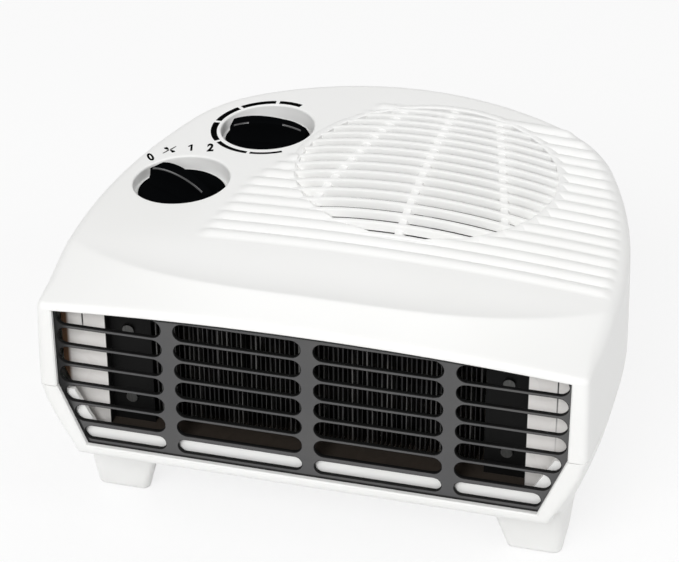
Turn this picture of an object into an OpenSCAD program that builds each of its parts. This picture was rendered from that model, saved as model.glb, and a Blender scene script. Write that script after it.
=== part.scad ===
// Flat fan heater with a round top inlet, two knobs and a barred air outlet.
// Millimetres, +Z up, front at -Y, origin on the floor under the middle of the body.

/* [Housing] */
// Width across the widest place of the side walls
body_w = 252.4; // [236:0.2:270]
// Depth from the front face to the back
body_d = 220; // [210:1:236]
// Height from the floor to the middle of the top
body_h = 128; // [122:1:140]
// Fall of the crowned top from its middle to its side edge
top_crown = 6.5; // [3:0.1:9]
// Height of the seam between the two shells
seam_z = 74; // [66:1:80]
// Distance that the side walls flare out from the top edge to the seam
flare = 1.3; // [0:0.1:1.6]
// Wall thickness of both shells
wall = 2.5; // [1.8:0.1:3]
// Radius of the rounded top edge at the sides and back
edge_r = 6; // [4:0.5:9]
// Radius of the rounded top edge along the front
front_edge_r = 2.6; // [2:0.5:4]
// Distance that the side walls lean in below the seam
side_lean = 14.5; // [8:0.5:18]
// Height of the underside above the floor
belly_z = 22; // [16:1:28]
// Height of the front frame's lower edge above the floor
lip_z = 38.5; // [35:0.5:42]

/* [Top] */
// Depth of the brow's front edge below the top
brow_drop = 6; // [3:0.5:8]
// Distance of the brow's crease from the front face, in the middle
crease_y = 17.5; // [14:0.5:22]
// Extra distance of the crease from the front at the sides
crease_sweep = 25; // [15:1:30]
// Depth of the shallow scoop behind the crease
scoop_depth = 1.4; // [0.5:0.1:2]
// Spacing of the ribs
rib_pitch = 8.28; // [7:0.1:10]
// Width of one rib
rib_w = 6.7; // [5:0.1:7.6]
// Height of a rib above the top
rib_h = 0.9; // [0.5:0.1:1.4]
// Distance of the first rib's middle from the front face
rib_start = 60.8; // [56:0.5:66]

/* [Air inlet] */
// Radius of the inlet grille
inlet_r = 60.6; // [54:0.5:62]
// Distance of the inlet's middle to the right of the centre line
inlet_x = 22.1; // [16:0.5:28]
// Distance of the inlet's middle from the back
inlet_back = 82.5; // [78:0.5:86]
// Rise of the domed grille in its middle
inlet_dome = 5; // [3:0.5:8]
// Spacing of the inlet gaps
gap_pitch = 7.75; // [6.5:0.01:8]
// Width of one inlet gap
gap_w = 4.9; // [3:0.1:5.6]
// Number of inlet gaps
gap_count = 15; // [10:1:15]
// Width of the three spokes
spoke_w = 4; // [3:0.5:5]
// Distance of the outer spokes from the middle one
spoke_x = 35; // [28:1:40]
// Lean of the outer spokes towards the back
spoke_angle = 13; // [0:1:20]

/* [Air outlet] */
// Width of the front opening above its knee
opening_w = 229.4; // [216:0.2:230]
// Width of the opening's lower edge
opening_base_w = 204; // [190:1:206]
// Height of the opening's lower edge
opening_z = 45.8; // [44:0.1:48]
// Distance of the opening's upper corners below the top
opening_drop = 14.4; // [13:0.1:18]
// Rise of the opening's upper edge in its middle
opening_crown = 4.4; // [2:0.1:5]
// Thickness of the barred plate
grille_t = 2; // [1.5:0.1:3]
// Distance of the plate's face behind the front face
grille_set = 2.6; // [2:0.1:3.2]
// Width of the bars between the slot rows
slat_w = 2.1; // [1.6:0.1:3.5]
// Number of slot rows
slot_rows = 7; // [6:1:8]
// Spacing of the upright posts
post_pitch = 63; // [58:1:66]
// Width of an upright post
post_w = 5.8; // [4:0.2:8]

/* [Feet] */
// Height of a front foot's inner side above its lower edge
foot_w = 27; // [20:1:30]
// Length of a foot from front to back
foot_l = 26; // [20:1:34]
// Distance of a front foot behind the front face
foot_set = 29; // [24:1:36]
// Radius of a rubber pad
pad_r = 7; // [5:0.5:9]
// Thickness of a rubber pad
pad_t = 2; // [1.5:0.1:3]
// Height of a rubber pad below its foot
pad_proud = 0.4; // [0.2:0.1:1]

/* [Controls] */
// Radius of the wells that hold the knobs
well_r = 22.7; // [21:0.1:24]
// Depth of the wells
well_depth = 7.5; // [6:0.5:9]
// Clearance between a knob and its well
knob_gap = 2; // [0.8:0.1:2.5]
// Thickness of a knob's disc
knob_disc = 2; // [1.5:0.5:4]
// Height of a knob's arched grip above the top
grip_rise = 3.2; // [2:0.2:8]
// Length of a knob's grip
grip_l = 37; // [32:1:39]
// Width of a knob's grip at its pointing end
grip_w = 8.6; // [7:0.1:12]
// Distance of the switch to the left of the centre line
switch_x = 89; // [84:0.5:92]
// Distance of the switch from the back
switch_back = 113.5; // [110:0.5:118]
// Distance of the thermostat to the left of the centre line
thermo_x = 63.3; // [60:0.5:68]
// Distance of the thermostat from the back
thermo_back = 57; // [54:0.5:60]
// Angle of the switch's grip at its off mark
switch_angle = 149; // [120:1:155]
// Angle of the thermostat's grip in its middle place
thermo_angle = 183; // [170:1:190]
// Radius of the spindles
spindle_r = 3; // [2.5:0.1:3.5]
// Radial clearance of the turning parts
run_gap = 0.08; // [0.05:0.01:0.1]

/* [Heater] */
// Half width of the heater duct
duct_w = 95; // [90:1:98]
// Height of the duct's floor
duct_z = 48; // [46:0.5:50]
// Distance of the duct's roof below the top
duct_drop = 16; // [15:0.5:22]
// Distance of the duct's front edge behind the front face
duct_set = 12.5; // [10:0.5:16]
// Distance of the duct's back edge behind the front face
duct_back = 50; // [44:1:56]
// Thickness of the sheet metal
sheet_t = 0.8; // [0.5:0.1:1.2]
// Half width of the fin pack
fins_w = 74.8; // [66:0.2:80]
// Spacing of the fins
fin_pitch = 2.2; // [1.8:0.1:4]
// Thickness of a fin
fin_t = 0.5; // [0.3:0.1:0.8]
// Depth of a fin
fin_d = 8; // [5:0.5:10]
// Gap from the fins to the duct's floor and roof
fin_gap = 4.6; // [3:0.1:10]
// Distance of the fins behind the front face
fins_set = 18; // [16:0.5:24]
// Thickness of a heating bar
bar_t = 3; // [2:0.5:5]
// Height of a heating bar
bar_h = 8; // [5:1:12]
// Number of heating bars
bar_count = 3; // [2:1:4]

/* [Fan] */
// Radius of the fan wheel
fan_r = 50; // [42:1:52]
// Height of the fan wheel's blades
blade_h = 28; // [20:1:30]
// Number of blades
blade_count = 24; // [12:1:36]
// Radius of the motor shaft
shaft_r = 2.5; // [2:0.1:3]
// Height of the motor's stack of laminations
stack_h = 20; // [14:1:24]
// Width of the laminations
stack_w = 60; // [54:1:66]
// Radius of the rotor
rotor_r = 12; // [10:0.5:13]
// Gap between the rotor and the laminations
air_gap = 0.4; // [0.3:0.05:0.6]

/* [Cord inlet] */
// Radius of the hole through the cord bush
cord_r = 3.4; // [3:0.1:4]
// Outer radius of the cord bush's neck
bush_r = 6; // [5:0.5:7]
// Length of the cord bush
bush_l = 16; // [14:1:18]

/* [Hidden] */

seat_gap = 0.05;
front = -body_d / 2;
half_w = body_w / 2;
back = body_d / 2;
inlet_at = [inlet_x, back - inlet_back];
switch_at = [-switch_x, back - switch_back];
thermo_at = [-thermo_x, back - thermo_back];
// Heights that hang from the top.
opening_top_z = body_h - opening_drop;
duct_top_z = body_h - duct_drop;
scroll_top = body_h - 12;
scroll_z = body_h - 48;
bracket_z = scroll_z - 40;

// Plan outline of the body: arcs that meet smoothly, right half from the front to the back.
widest_y = front + 72;
corner_r = 4;
flank_r = 450;
side_r = 260;
shoulder_r = 62;
back_r = 160;
flank_c = [half_w - flank_r, widest_y];
side_c = [half_w - side_r, widest_y];
back_c = [0, back - back_r];
corner_c = [flank_c.x + sqrt(pow(flank_r - corner_r, 2) - pow(front + corner_r - widest_y, 2)),
    front + corner_r];

// The point at distance a from p and b from q, on the right of the way from p to q.
function meet(p, a, q, b) =
    let (v = q - p, d = norm(v), t = (a * a - b * b + d * d) / (2 * d))
    p + t * v / d + sqrt(a * a - t * t) * [-v.y, v.x] / d;
shoulder_c = meet(side_c, side_r - shoulder_r, back_c, back_r - shoulder_r);

function bearing(p, q) = atan2(q.y - p.y, q.x - p.x);
function arc(c, r, from, to, n) =
    [for (i = [0:n]) c + r * [cos(from + (to - from) * i / n), sin(from + (to - from) * i / n)]];

flank_from = bearing(flank_c, corner_c);
shoulder_from = bearing(side_c, shoulder_c);
shoulder_to = bearing(back_c, shoulder_c);
front_steps = 6;
// Right half of the outline, from the front's middle to the back's middle.
half_outline = concat(
    [for (i = [0:front_steps - 1]) [corner_c.x * i / front_steps, front]],
    arc(corner_c, corner_r, -90, flank_from, 2),
    [for (i = [1:3]) flank_c + flank_r * [cos(flank_from * (1 - i / 4)), sin(flank_from * (1 - i / 4))]],
    arc(side_c, side_r, 0, shoulder_from, 4),
    [for (i = [1:5]) let (t = shoulder_from + (shoulder_to - shoulder_from) * i / 6)
        shoulder_c + shoulder_r * [cos(t), sin(t)]],
    [for (i = [0:4]) let (t = shoulder_to + (90 - shoulder_to) * i / 5)
        back_c + back_r * [cos(t), sin(t)]],
    [[0, back]]);
half_n = len(half_outline);
outline_pts = concat(half_outline, [for (i = [half_n - 2:-1:1]) [-half_outline[i].x, half_outline[i].y]]);
ring_n = len(outline_pts);

function clamp01(t) = min(1, max(0, t));
function ease(t) = let (u = clamp01(t)) u * u * (3 - 2 * u);
// Unit vector out of the outline at point i; straight out along the flat front.
function outward(i) =
    let (a = outline_pts[(i + ring_n - 1) % ring_n], b = outline_pts[(i + 1) % ring_n], v = b - a)
    outline_pts[i].y <= front ? [0, -1] : [v.y, -v.x] / norm(v);
// The outline moved inwards; past the corners' radius it shrinks towards the middle.
near_inset = 3;
function inset(i, d) = let (p = outline_pts[i] - min(d, near_inset) * outward(i), far = max(0, d - near_inset))
    [p.x * (1 - far / half_w), p.y * (1 - far * 2 / body_d)];

// Height of the top over a plan point: crown, brow and scoop.
crease_reach = 116;
brow_front = 4;
function crown_z(x) = body_h - top_crown * pow(x / half_w, 2);
function crease(x) = front + crease_y + crease_sweep * pow(min(1.1, abs(x) / crease_reach), 3);
function brow(x, y) = let (c = crease(x), s = front + brow_front)
    y >= c ? 0 : brow_drop * (c - y) / (c - s) * (1 - 0.12 * clamp01((c - y) / (c - s)));
scoop_end = front + rib_start - rib_w / 2 - 2;
function scoop(x, y) = let (c = crease(x), t = (y - c) / (scoop_end - c))
    (t <= 0 || t >= 1) ? 0 : scoop_depth * 6.75 * t * (1 - t) * (1 - t) * clamp01(1 - pow(x / crease_reach, 2));
function top_z(x, y) = crown_z(x) - brow(x, y) - scoop(x, y);
// The wall under the brow thins towards the front edge.
brow_thin = 0.9;
function depth_at(low, y) = low > 0 ? low - brow_thin * (1 - ease((y - front) / 30)) : 0;
function round_r(y) = front_edge_r + (edge_r - front_edge_r) * ease((y - front) / 24);

// The ring of points at an inset, lowered by its place on the rounded edge.
function edge_ring(off, low, turn) = [for (i = [0:ring_n - 1])
    let (r = max(0.5, round_r(outline_pts[i].y) - off), p = inset(i, off + r * (1 - cos(turn))))
    [p.x, p.y, top_z(p.x, max(p.y, front)) - depth_at(low, p.y) - r * (1 - sin(turn))]];
function inner_ring(off, low, s) = [for (i = [0:ring_n - 1])
    let (p = inset(i, off + max(0.5, round_r(outline_pts[i].y) - off)) * (1 - s))
    [p.x, p.y, top_z(p.x, p.y) - depth_at(low, p.y)]];
function flared(p) = [p.x * (1 + flare / half_w), p.y > 0 ? p.y * (1 + flare / half_w) : p.y];
function flat_ring(off, z) = [for (i = [0:ring_n - 1]) let (p = flared(inset(i, off))) [p.x, p.y, z]];

// A closed solid from rings of points, each joined to the next; its ends close on two points.
module rings(list, last, base) {
    n = len(list);
    pts = concat([for (r = list) each r], [last, base]);
    polyhedron(pts, concat(
        [for (k = [0:n - 2]) for (i = [0:ring_n - 1]) let (j = (i + 1) % ring_n)
            each [[k * ring_n + i, (k + 1) * ring_n + j, k * ring_n + j],
                  [k * ring_n + i, (k + 1) * ring_n + i, (k + 1) * ring_n + j]]],
        [for (i = [0:ring_n - 1]) [(n - 1) * ring_n + i, n * ring_n, (n - 1) * ring_n + (i + 1) % ring_n]],
        [for (i = [0:ring_n - 1]) [(i + 1) % ring_n, n * ring_n + 1, i]]), convexity = 6);
}

top_rings = [0.06, 0.11, 0.16, 0.22, 0.32, 0.48];
hollow_rings = [0.11, 0.22, 0.4];
// The upper body's outer form, or its hollow when off and low are set.
module upper_form(off, low, from_z, at) {
    rings(concat([flat_ring(off, from_z)],
        [for (t = [0, 30, 60, 90]) edge_ring(off, low, t)],
        [for (s = at) inner_ring(off, low, s)]),
        [0, 0, top_z(0, 0) - low], [0, 0, from_z]);
}

// Underside height: the front lip, a slope down, then the flat belly.
lip_depth = 8;
slope_end = 34;
function belly(y) = belly_z + (lip_z - belly_z) * (1 - ease((y - front - lip_depth) / (slope_end - lip_depth)));
base_taper_front = 17 / 122;
base_taper_back = side_lean / (half_w + flare);
function lean(q, t) = let (p = flared(q), k = base_taper_front
        + (base_taper_back - base_taper_front) * ease((p.y - front) / 54))
    [p.x * (1 - k * t), front + (p.y - front) * (1 - side_lean / body_d * 0.6 * t)];
function lower_ring(off, up, t, s) = [for (i = [0:ring_n - 1])
    let (p = lean(inset(i, off), t) * (1 - s), b = belly(p.y) + up)
    [p.x, p.y, s > 0 ? b : seam_z + (b - seam_z) * t]];
base_r = 5;
function base_ring(off, up, turn) = [for (i = [0:ring_n - 1])
    let (r = max(0.8, base_r - off), q = lean(inset(i, off + r * (1 - cos(turn))), 1))
    [q.x, q.y, belly(q.y) + up + r * (1 - sin(turn))]];
// The lower body's outer form, or its hollow; listed from the seam down.
module lower_form(off, up, from_z) {
    mirror([0, 0, 1]) rings([for (r = concat(
        [flat_ring(off, from_z)],
        [for (t = [0, 30, 60, 90]) base_ring(off, up, t)],
        [for (s = [0.09, 0.15, 0.21, 0.27, 0.34]) lower_ring(off + 4, up, 1, s)]))
        [for (p = r) [p.x, p.y, -p.z]]], [0, 0, -belly(0) - up], [0, 0, -from_z]);
}

// The front opening as seen from the front, x across and y up.
knee_half = opening_w / 2;
base_half = opening_base_w / 2;
crown_steps = 8;
module opening_shape(side, low, high) {
    reach = knee_half + side;
    foot = base_half + side;
    polygon(concat([[-reach, seam_z], [-foot, opening_z - low], [foot, opening_z - low], [reach, seam_z]],
        [for (i = [0:crown_steps]) let (x = reach * (1 - 2 * i / crown_steps))
            [x, opening_top_z + high + opening_crown * (1 - pow(x / knee_half, 2))]]));
}
module upright(y, depth) { translate([0, y + depth, 0]) rotate([90, 0, 0]) linear_extrude(depth) children(); }

// A block between two end faces of four points each.
module block(p, q) {
    hull() polyhedron(concat(p, q), [[0, 1, 2, 3], [4, 5, 6, 7], [0, 1, 5, 4], [2, 3, 7, 6]]);
}
// One rib: blocks that follow the crowned top from x0 to x1.
rib_steps = 3;
function rib_face(x, y) = let (z = crown_z(x)) [[x, y - rib_w / 2, z - 1], [x, y + rib_w / 2, z - 1],
    [x, y + rib_w / 4, z + rib_h], [x, y - rib_w / 4, z + rib_h]];
module rib(y, x0, x1) {
    for (k = [0:rib_steps - 1])
        block(rib_face(x0 + (x1 - x0) * k / rib_steps, y), rib_face(x0 + (x1 - x0) * (k + 1) / rib_steps, y));
}
// Left end of a rib: a slanted line that swings round the thermostat's printed scale.
function rib_left(y) = let (d = y - thermo_at.y)
    d < -51 ? -57.4 + 0.16 * (d + 51) : d < -10 ? -57.5 + 0.49 * (d + 51) : -37.5 + 0.5 * (d + 10);
// Half width of the outline at a depth.
function half_at(y) = y < widest_y ? flank_c.x + sqrt(pow(flank_r, 2) - pow(y - widest_y, 2))
    : y < shoulder_c.y + shoulder_r * sin(shoulder_from) ? side_c.x + sqrt(pow(side_r, 2) - pow(y - widest_y, 2))
    : y < shoulder_c.y + shoulder_r * sin(shoulder_to) ? shoulder_c.x + sqrt(pow(shoulder_r, 2) - pow(y - shoulder_c.y, 2))
    : sqrt(max(0, pow(back_r, 2) - pow(y - back_c.y, 2)));

// The ribs at one depth: one across the top, or two where the inlet lies between.
rib_min = 6;
rib_margin = 20;
rib_count = floor((body_d - rib_start - rib_margin) / rib_pitch) + 1;
module ribs_at(y) {
    x0 = rib_left(y);
    x1 = half_at(y + rib_w / 2) - edge_r - 1;
    off = max(0, abs(y - inlet_at.y) - rib_w / 2);
    if (off >= inlet_r) rib(y, x0, x1);
    else {
        chord = sqrt(pow(inlet_r, 2) - pow(off, 2)) + 0.6;
        if (inlet_at.x - chord > x0 + rib_min) rib(y, x0, inlet_at.x - chord);
        if (inlet_at.x + chord < x1 - rib_min) rib(y, inlet_at.x + chord, x1);
    }
}

// The domed inlet grille: a rim, bars across it and spokes under the bars' ends.
rim_sectors = 32;
dome_t = 4;
rim_step = 0.8;
gap_rim = 2;
first_gap = inlet_at.y - inlet_r + gap_rim + 1.6;
bar_w = gap_pitch - gap_w;
bar_low = 0.15;
spoke_low = 0.6;
dome_steps = 3;
function dome_z(p) = crown_z(p.x) + rim_step + inlet_dome * (1 - pow(norm(p - inlet_at) / inlet_r, 2));
function rim_ring(r, low) = [for (i = [0:rim_sectors - 1]) let (t = 360 * i / rim_sectors,
    p = inlet_at + r * [cos(t), sin(t)]) [p.x, p.y, dome_z(p) - low]];
module inlet_rim() {
    n = rim_sectors;
    loops = [rim_ring(inlet_r, 0), rim_ring(inlet_r - gap_rim, 0), rim_ring(inlet_r - gap_rim, dome_t), rim_ring(inlet_r, dome_t)];
    polyhedron([for (l = loops) each l], [for (k = [0:3]) for (i = [0:n - 1])
        let (a = k * n, b = (k + 1) % 4 * n, j = (i + 1) % n)
            each [[a + i, b + i, b + j], [a + i, b + j, a + j]]], convexity = 4);
}
function dome_face(p, turn, w, low) = let (z = dome_z(p) - low, u = w / 2 * [cos(turn), sin(turn)])
    [for (q = [[-1, -dome_t], [1, -dome_t], [1, 0], [-1, 0]]) [p.x + q.x * u.x, p.y + q.x * u.y, z + q.y]];
module dome_strip(p0, p1, turn, w, low) {
    for (k = [0:dome_steps - 1])
        block(dome_face(p0 + (p1 - p0) * k / dome_steps, turn, w, low),
            dome_face(p0 + (p1 - p0) * (k + 1) / dome_steps, turn, w, low));
}
module inlet_grid() {
    inlet_rim();
    for (k = [0:gap_count - 1]) let (y = first_gap + (k + 0.5) * gap_pitch,
            reach = sqrt(pow(inlet_r - 1, 2) - pow(abs(y - inlet_at.y) + bar_w / 2, 2)))
        dome_strip([inlet_at.x + reach, y], [inlet_at.x - reach, y], 90, bar_w, bar_low);
    for (a = [-1, 0, 1]) let (u = [cos(a * spoke_angle), sin(a * spoke_angle)], v = [-u.y, u.x],
            mid = inlet_at + a * spoke_x * u, reach = sqrt(pow(inlet_r - 1.5, 2) - pow(a * spoke_x, 2)))
        dome_strip(mid - reach * v, mid + reach * v, a * spoke_angle, spoke_w, spoke_low);
}

// Wells for the knobs.
switch_top = crown_z(switch_at.x);
thermo_top = crown_z(thermo_at.x);
well_wall = 2;
function well_floor(top) = top - well_depth;
module well_body(at, top) {
    translate([at.x, at.y, well_floor(top) - well_wall])
        cylinder(h = well_depth + well_wall, r = well_r + well_wall, $fn = 24);
}
module well_cut(at, top) {
    translate([at.x, at.y, well_floor(top)]) cylinder(h = well_depth + 4, r = well_r, $fn = 32);
    translate([at.x, at.y, top - 1.2]) cylinder(h = 3.2, r1 = well_r, r2 = well_r + 3.2, $fn = 32);
}
bush_hole = 6;
module spindle_hole(at, top) {
    translate([at.x, at.y, well_floor(top) - well_wall - 1]) cylinder(h = well_wall + 2, r = bush_hole, $fn = 24);
}

// Case screws: posts that meet at the seam, at the front sides and the back shoulders.
screw_r = 1.6;
screw_hole = screw_r + seat_gap;
post_r = 4.6;
head_r = 3.4;
head_h = 2.4;
front_post = [104, front + 61.3];
back_post = [91, back - 70];
case_screw_at = [front_post, [-front_post.x, front_post.y], back_post, [-back_post.x, back_post.y]];
screw_seat = seam_z - 14;
screw_bite = 12;
module upper_posts() {
    for (p = case_screw_at) translate([p.x, p.y, seam_z])
        cylinder(h = crown_z(p.x) - wall + 1 - seam_z, r = post_r, $fn = 8);
}

control_post_h = 4;
// Screws that hold the switch under its well: offsets from its spindle.
switch_screw_off = 13;
module control_posts(at, top) {
    for (s = [-1, 1]) translate([at.x + s * switch_screw_off, at.y, well_floor(top) - well_wall - control_post_h])
        cylinder(h = control_post_h + 0.5, r = 3, $fn = 16);
}
module control_holes(at, top) {
    for (s = [-1, 1]) translate([at.x + s * switch_screw_off, at.y, well_floor(top) - well_wall - control_post_h - 1])
        cylinder(h = control_post_h + 1 + well_wall / 2, r = 1.2 + seat_gap, $fn = 16);
}

// All that lies at least low under the crowned top.
module under_crown(low) {
    upright(front, body_d) polygon(concat([[-half_w, 0], [half_w, 0]],
        [for (i = [0:crown_steps]) let (x = half_w * (1 - 2 * i / crown_steps)) [x, crown_z(x) - low]]));
}

module upper_shell() {
    color([0.93, 0.93, 0.92]) difference() {
        union() {
            difference() {
                upper_form(0, 0, seam_z, top_rings);
                upper_form(wall, wall, seam_z - 1, hollow_rings);
                translate([inlet_at.x, inlet_at.y, body_h - 20]) cylinder(h = 40, r = inlet_r - gap_rim / 2, $fn = 32);
            }
            for (k = [0:rib_count - 1]) ribs_at(front + rib_start + k * rib_pitch);
            inlet_grid();
            intersection() {
                under_crown(1);
                union() {
                    well_body(switch_at, switch_top);
                    well_body(thermo_at, thermo_top);
                }
            }
            upper_posts();
            control_posts(switch_at, switch_top);
        }
        well_cut(switch_at, switch_top);
        well_cut(thermo_at, thermo_top);
        spindle_hole(switch_at, switch_top);
        spindle_hole(thermo_at, thermo_top);
        control_holes(switch_at, switch_top);
        for (p = case_screw_at) translate([p.x, p.y, seam_z - 1]) cylinder(h = screw_bite + 3, r = screw_hole, $fn = 12);
        upright(front - 1, wall + 2) opening_shape(0, 0, 0);
    }
}

// Feet: tapered blocks whose outer side carries on the leaning wall.
foot_top = belly_z + 8;
foot_outer = half_w + flare - side_lean - 1.5;
back_foot_y = back - 52;
back_foot_in = 24;
module foot(x, y) {
    hull() {
        translate([x - foot_w / 2 + 3, y - foot_l / 2, foot_top]) cube([foot_w - 3, foot_l, 1]);
        for (sx = [-1, 1]) for (sy = [-1, 1])
            translate([x + sx * (foot_w / 2 - 4) + 1, y + sy * (foot_l / 2 - 4), pad_proud])
                cylinder(h = 1, r = 3.4, $fn = 8);
    }
}
front_foot_at = [foot_outer - foot_w / 2 - 1, front + foot_set + foot_l / 2];
back_foot_at = [front_foot_at.x - back_foot_in, back_foot_y];
feet_at = [front_foot_at, [-front_foot_at.x, front_foot_at.y], back_foot_at, [-back_foot_at.x, back_foot_at.y]];

// Posts inside the lower shell.
scroll_r = inlet_r + 3.4;
scroll_t = 2;
scroll_reach = scroll_r + 7;
scroll_post_at = concat([for (a = [35, 145, 215]) inlet_at + scroll_reach * [cos(a), sin(a)]],
    [inlet_at + [scroll_r + 4.4, -47.5]]);
bracket_half = 42;
bracket_post_at = [inlet_at + [-bracket_half, 0], inlet_at + [bracket_half, 0]];
rail_x = 60;
rail_steps = 4;
scroll_bite = 9;
bracket_bite = (bracket_z - belly_z) * 0.45;
module inner_post(p, r, to_z) { translate([p.x, p.y, belly_z + 1]) cylinder(h = to_z - belly_z - 1, r = r, $fn = 16); }
// A low wall behind the lowest slots, in front of the duct.
guide_y = front + 9;
guide_t = 2;
guide_half = base_half - 2;
module guide() {
    translate([-guide_half, guide_y, lip_z + 1]) cube([2 * guide_half, guide_t, duct_z - 0.3 - lip_z - 1]);
}
// An upright rib under the duct that follows the underside.
module rail(x) {
    y0 = front + duct_set + 2;
    y1 = front + duct_back - 2;
    translate([x - 2, 0, 0]) rotate([90, 0, 90]) linear_extrude(4) polygon(concat([[y1, duct_z], [y0, duct_z]],
        [for (i = [0:rail_steps]) let (y = y0 + (y1 - y0) * i / rail_steps) [y, belly(y) + 1.6]]));
}
// Terminal block: its place, its foot's height and its size.
block_at = [-62, back - 48];
block_z = 44;
block_l = 30;
block_w = 12;
block_h = 10;
block_hole = 10;
bush_z = 52;
bush_at = [-40, back];

module lower_shell() {
    color([0.93, 0.93, 0.92]) difference() {
        union() {
            difference() {
                lower_form(0, 0, seam_z);
                lower_form(wall, wall, seam_z + 1);
            }
            for (p = feet_at) scale([p.x < 0 ? -1 : 1, 1, 1]) foot(abs(p.x), p.y);
            for (p = case_screw_at) inner_post(p, post_r + 1, seam_z - seat_gap);
            for (p = scroll_post_at) inner_post(p, 4, scroll_z);
            for (p = bracket_post_at) inner_post(p, 5, bracket_z);
            for (s = [-1, 1]) rail(s * rail_x);
            guide();
            translate([block_at.x - block_l / 2 - 1, block_at.y - block_w / 2 - 2, belly_z + 1])
                cube([block_l + 2, block_w + 4, block_z - belly_z - 1]);
        }
        for (p = case_screw_at) {
            translate([p.x, p.y, 0]) cylinder(h = screw_seat, r = head_r + 0.3, $fn = 16);
            translate([p.x, p.y, screw_seat - 1]) cylinder(h = seam_z, r = screw_hole, $fn = 12);
        }
        for (p = concat(scroll_post_at, bracket_post_at)) {
            scroll = norm(p - inlet_at) > scroll_r;
            z = scroll ? scroll_z : bracket_z;
            deep = scroll ? scroll_bite + 1 : bracket_bite + 0.5;
            translate([p.x, p.y, z - deep]) cylinder(h = deep + 2, r = screw_hole, $fn = 12);
        }
        for (p = feet_at) translate([p.x, p.y, -1]) cylinder(h = 1 + pad_t + seat_gap, r = pad_r + seat_gap, $fn = 24);
        for (s = [-1, 1]) translate([block_at.x + s * block_hole, block_at.y, block_z - 8])
            cylinder(h = 10, r = 1.2 + seat_gap, $fn = 12);
        upright(front - 1, wall + 2) opening_shape(0, 0, 0);
        translate([bush_at.x, bush_at.y + 4, bush_z]) rotate([90, 0, 0]) cylinder(h = 30, r = bush_r + seat_gap, $fn = 32);
    }
}

// The barred plate behind the opening.
plate_lap = 1.8;
first_row = opening_top_z - 1.2;
slot_pitch = (opening_top_z - opening_z + 2.9) / slot_rows;
slot_h = slot_pitch - slat_w;
last_row = slot_rows - 1;
slot_left = [for (k = [0:last_row]) let (z = first_row - k * slot_pitch)
    z > seam_z ? knee_half - 2.2 : knee_half - 2.2 - (seam_z - z) * (knee_half - base_half) / (seam_z - opening_z)];
module slot(x0, x1, z, h) {
    translate([x0 + h / 2, z - h / 2]) square([x1 - x0 - h, h]);
    for (x = [x0 + h / 2, x1 - h / 2]) translate([x, z]) circle(h / 2, $fn = 24);
}
module outlet_grille() {
    color([0.4, 0.4, 0.41]) upright(front + grille_set, grille_t) difference() {
        opening_shape(plate_lap, plate_lap, 0.4);
        for (k = [0:last_row]) let (z = first_row - 3.4 - k * slot_pitch, h = k == last_row ? slot_h - 1 : slot_h,
                reach = slot_left[k] - (k == last_row - 1 ? 1.5 : 0)) {
            slot(-reach, -post_pitch - post_w / 2, z, h);
            slot(-post_pitch + post_w / 2, -post_w / 2, z, h);
            slot(post_w / 2, post_pitch - post_w / 2, z, h);
            slot(post_pitch + post_w / 2, reach, z, h);
        }
    }
}

module rubber_pads() {
    color([0.16, 0.16, 0.17]) for (p = feet_at) translate([p.x, p.y, 0]) cylinder(h = pad_t, r = pad_r, $fn = 32);
}

// A screw that points up, with its head below z.
module screw(p, z, length, r, hr, hh) {
    translate([p.x, p.y, z]) cylinder(h = length, r = r, $fn = 16);
    translate([p.x, p.y, z - hh]) difference() {
        cylinder(h = hh, r = hr, $fn = 24);
        for (a = [0, 90]) rotate(a) translate([-hr * 0.6, -0.4, -0.1]) cube([hr * 1.2, 0.8, hh * 0.5]);
    }
}
module case_screws() {
    color([0.6, 0.6, 0.62]) for (p = case_screw_at)
        screw(p, screw_seat, seam_z - screw_seat + screw_bite, screw_r, head_r, head_h);
}

// Duct: side plates with front flanges, roof and floor.
duct_front = front + duct_set;
duct_end = front + duct_back;
module side_plate() {
    translate([duct_w, duct_front, duct_z + sheet_t]) cube([sheet_t, duct_back - duct_set, duct_top_z - duct_z - sheet_t]);
    upright(duct_front, sheet_t) polygon([[duct_w, duct_z + sheet_t], [duct_w + 9, duct_z + sheet_t],
        [knee_half + 1, seam_z + 2], [knee_half + 1, duct_top_z], [duct_w, duct_top_z]]);
}
module right_side_plate() { color([0.72, 0.72, 0.7]) side_plate(); }
module left_side_plate() { color([0.72, 0.72, 0.7]) mirror([1, 0, 0]) side_plate(); }
module duct_roof() {
    color([0.7, 0.7, 0.69]) translate([-duct_w - sheet_t, duct_front, duct_top_z])
        cube([2 * (duct_w + sheet_t), duct_back - duct_set, sheet_t]);
}
ramp_l = 16;
module duct_floor() {
    color([0.3, 0.22, 0.17]) {
        translate([-duct_w - sheet_t, duct_front, duct_z]) cube([2 * (duct_w + sheet_t), duct_back - duct_set, sheet_t]);
        translate([-duct_w + 12, 0, 0]) rotate([90, 0, 90]) linear_extrude(2 * duct_w - 24)
            polygon([[duct_end, duct_z], [duct_end, duct_z + sheet_t],
                [duct_end + ramp_l, scroll_z - 1], [duct_end + ramp_l, scroll_z - 1 - sheet_t]]);
    }
}

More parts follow.
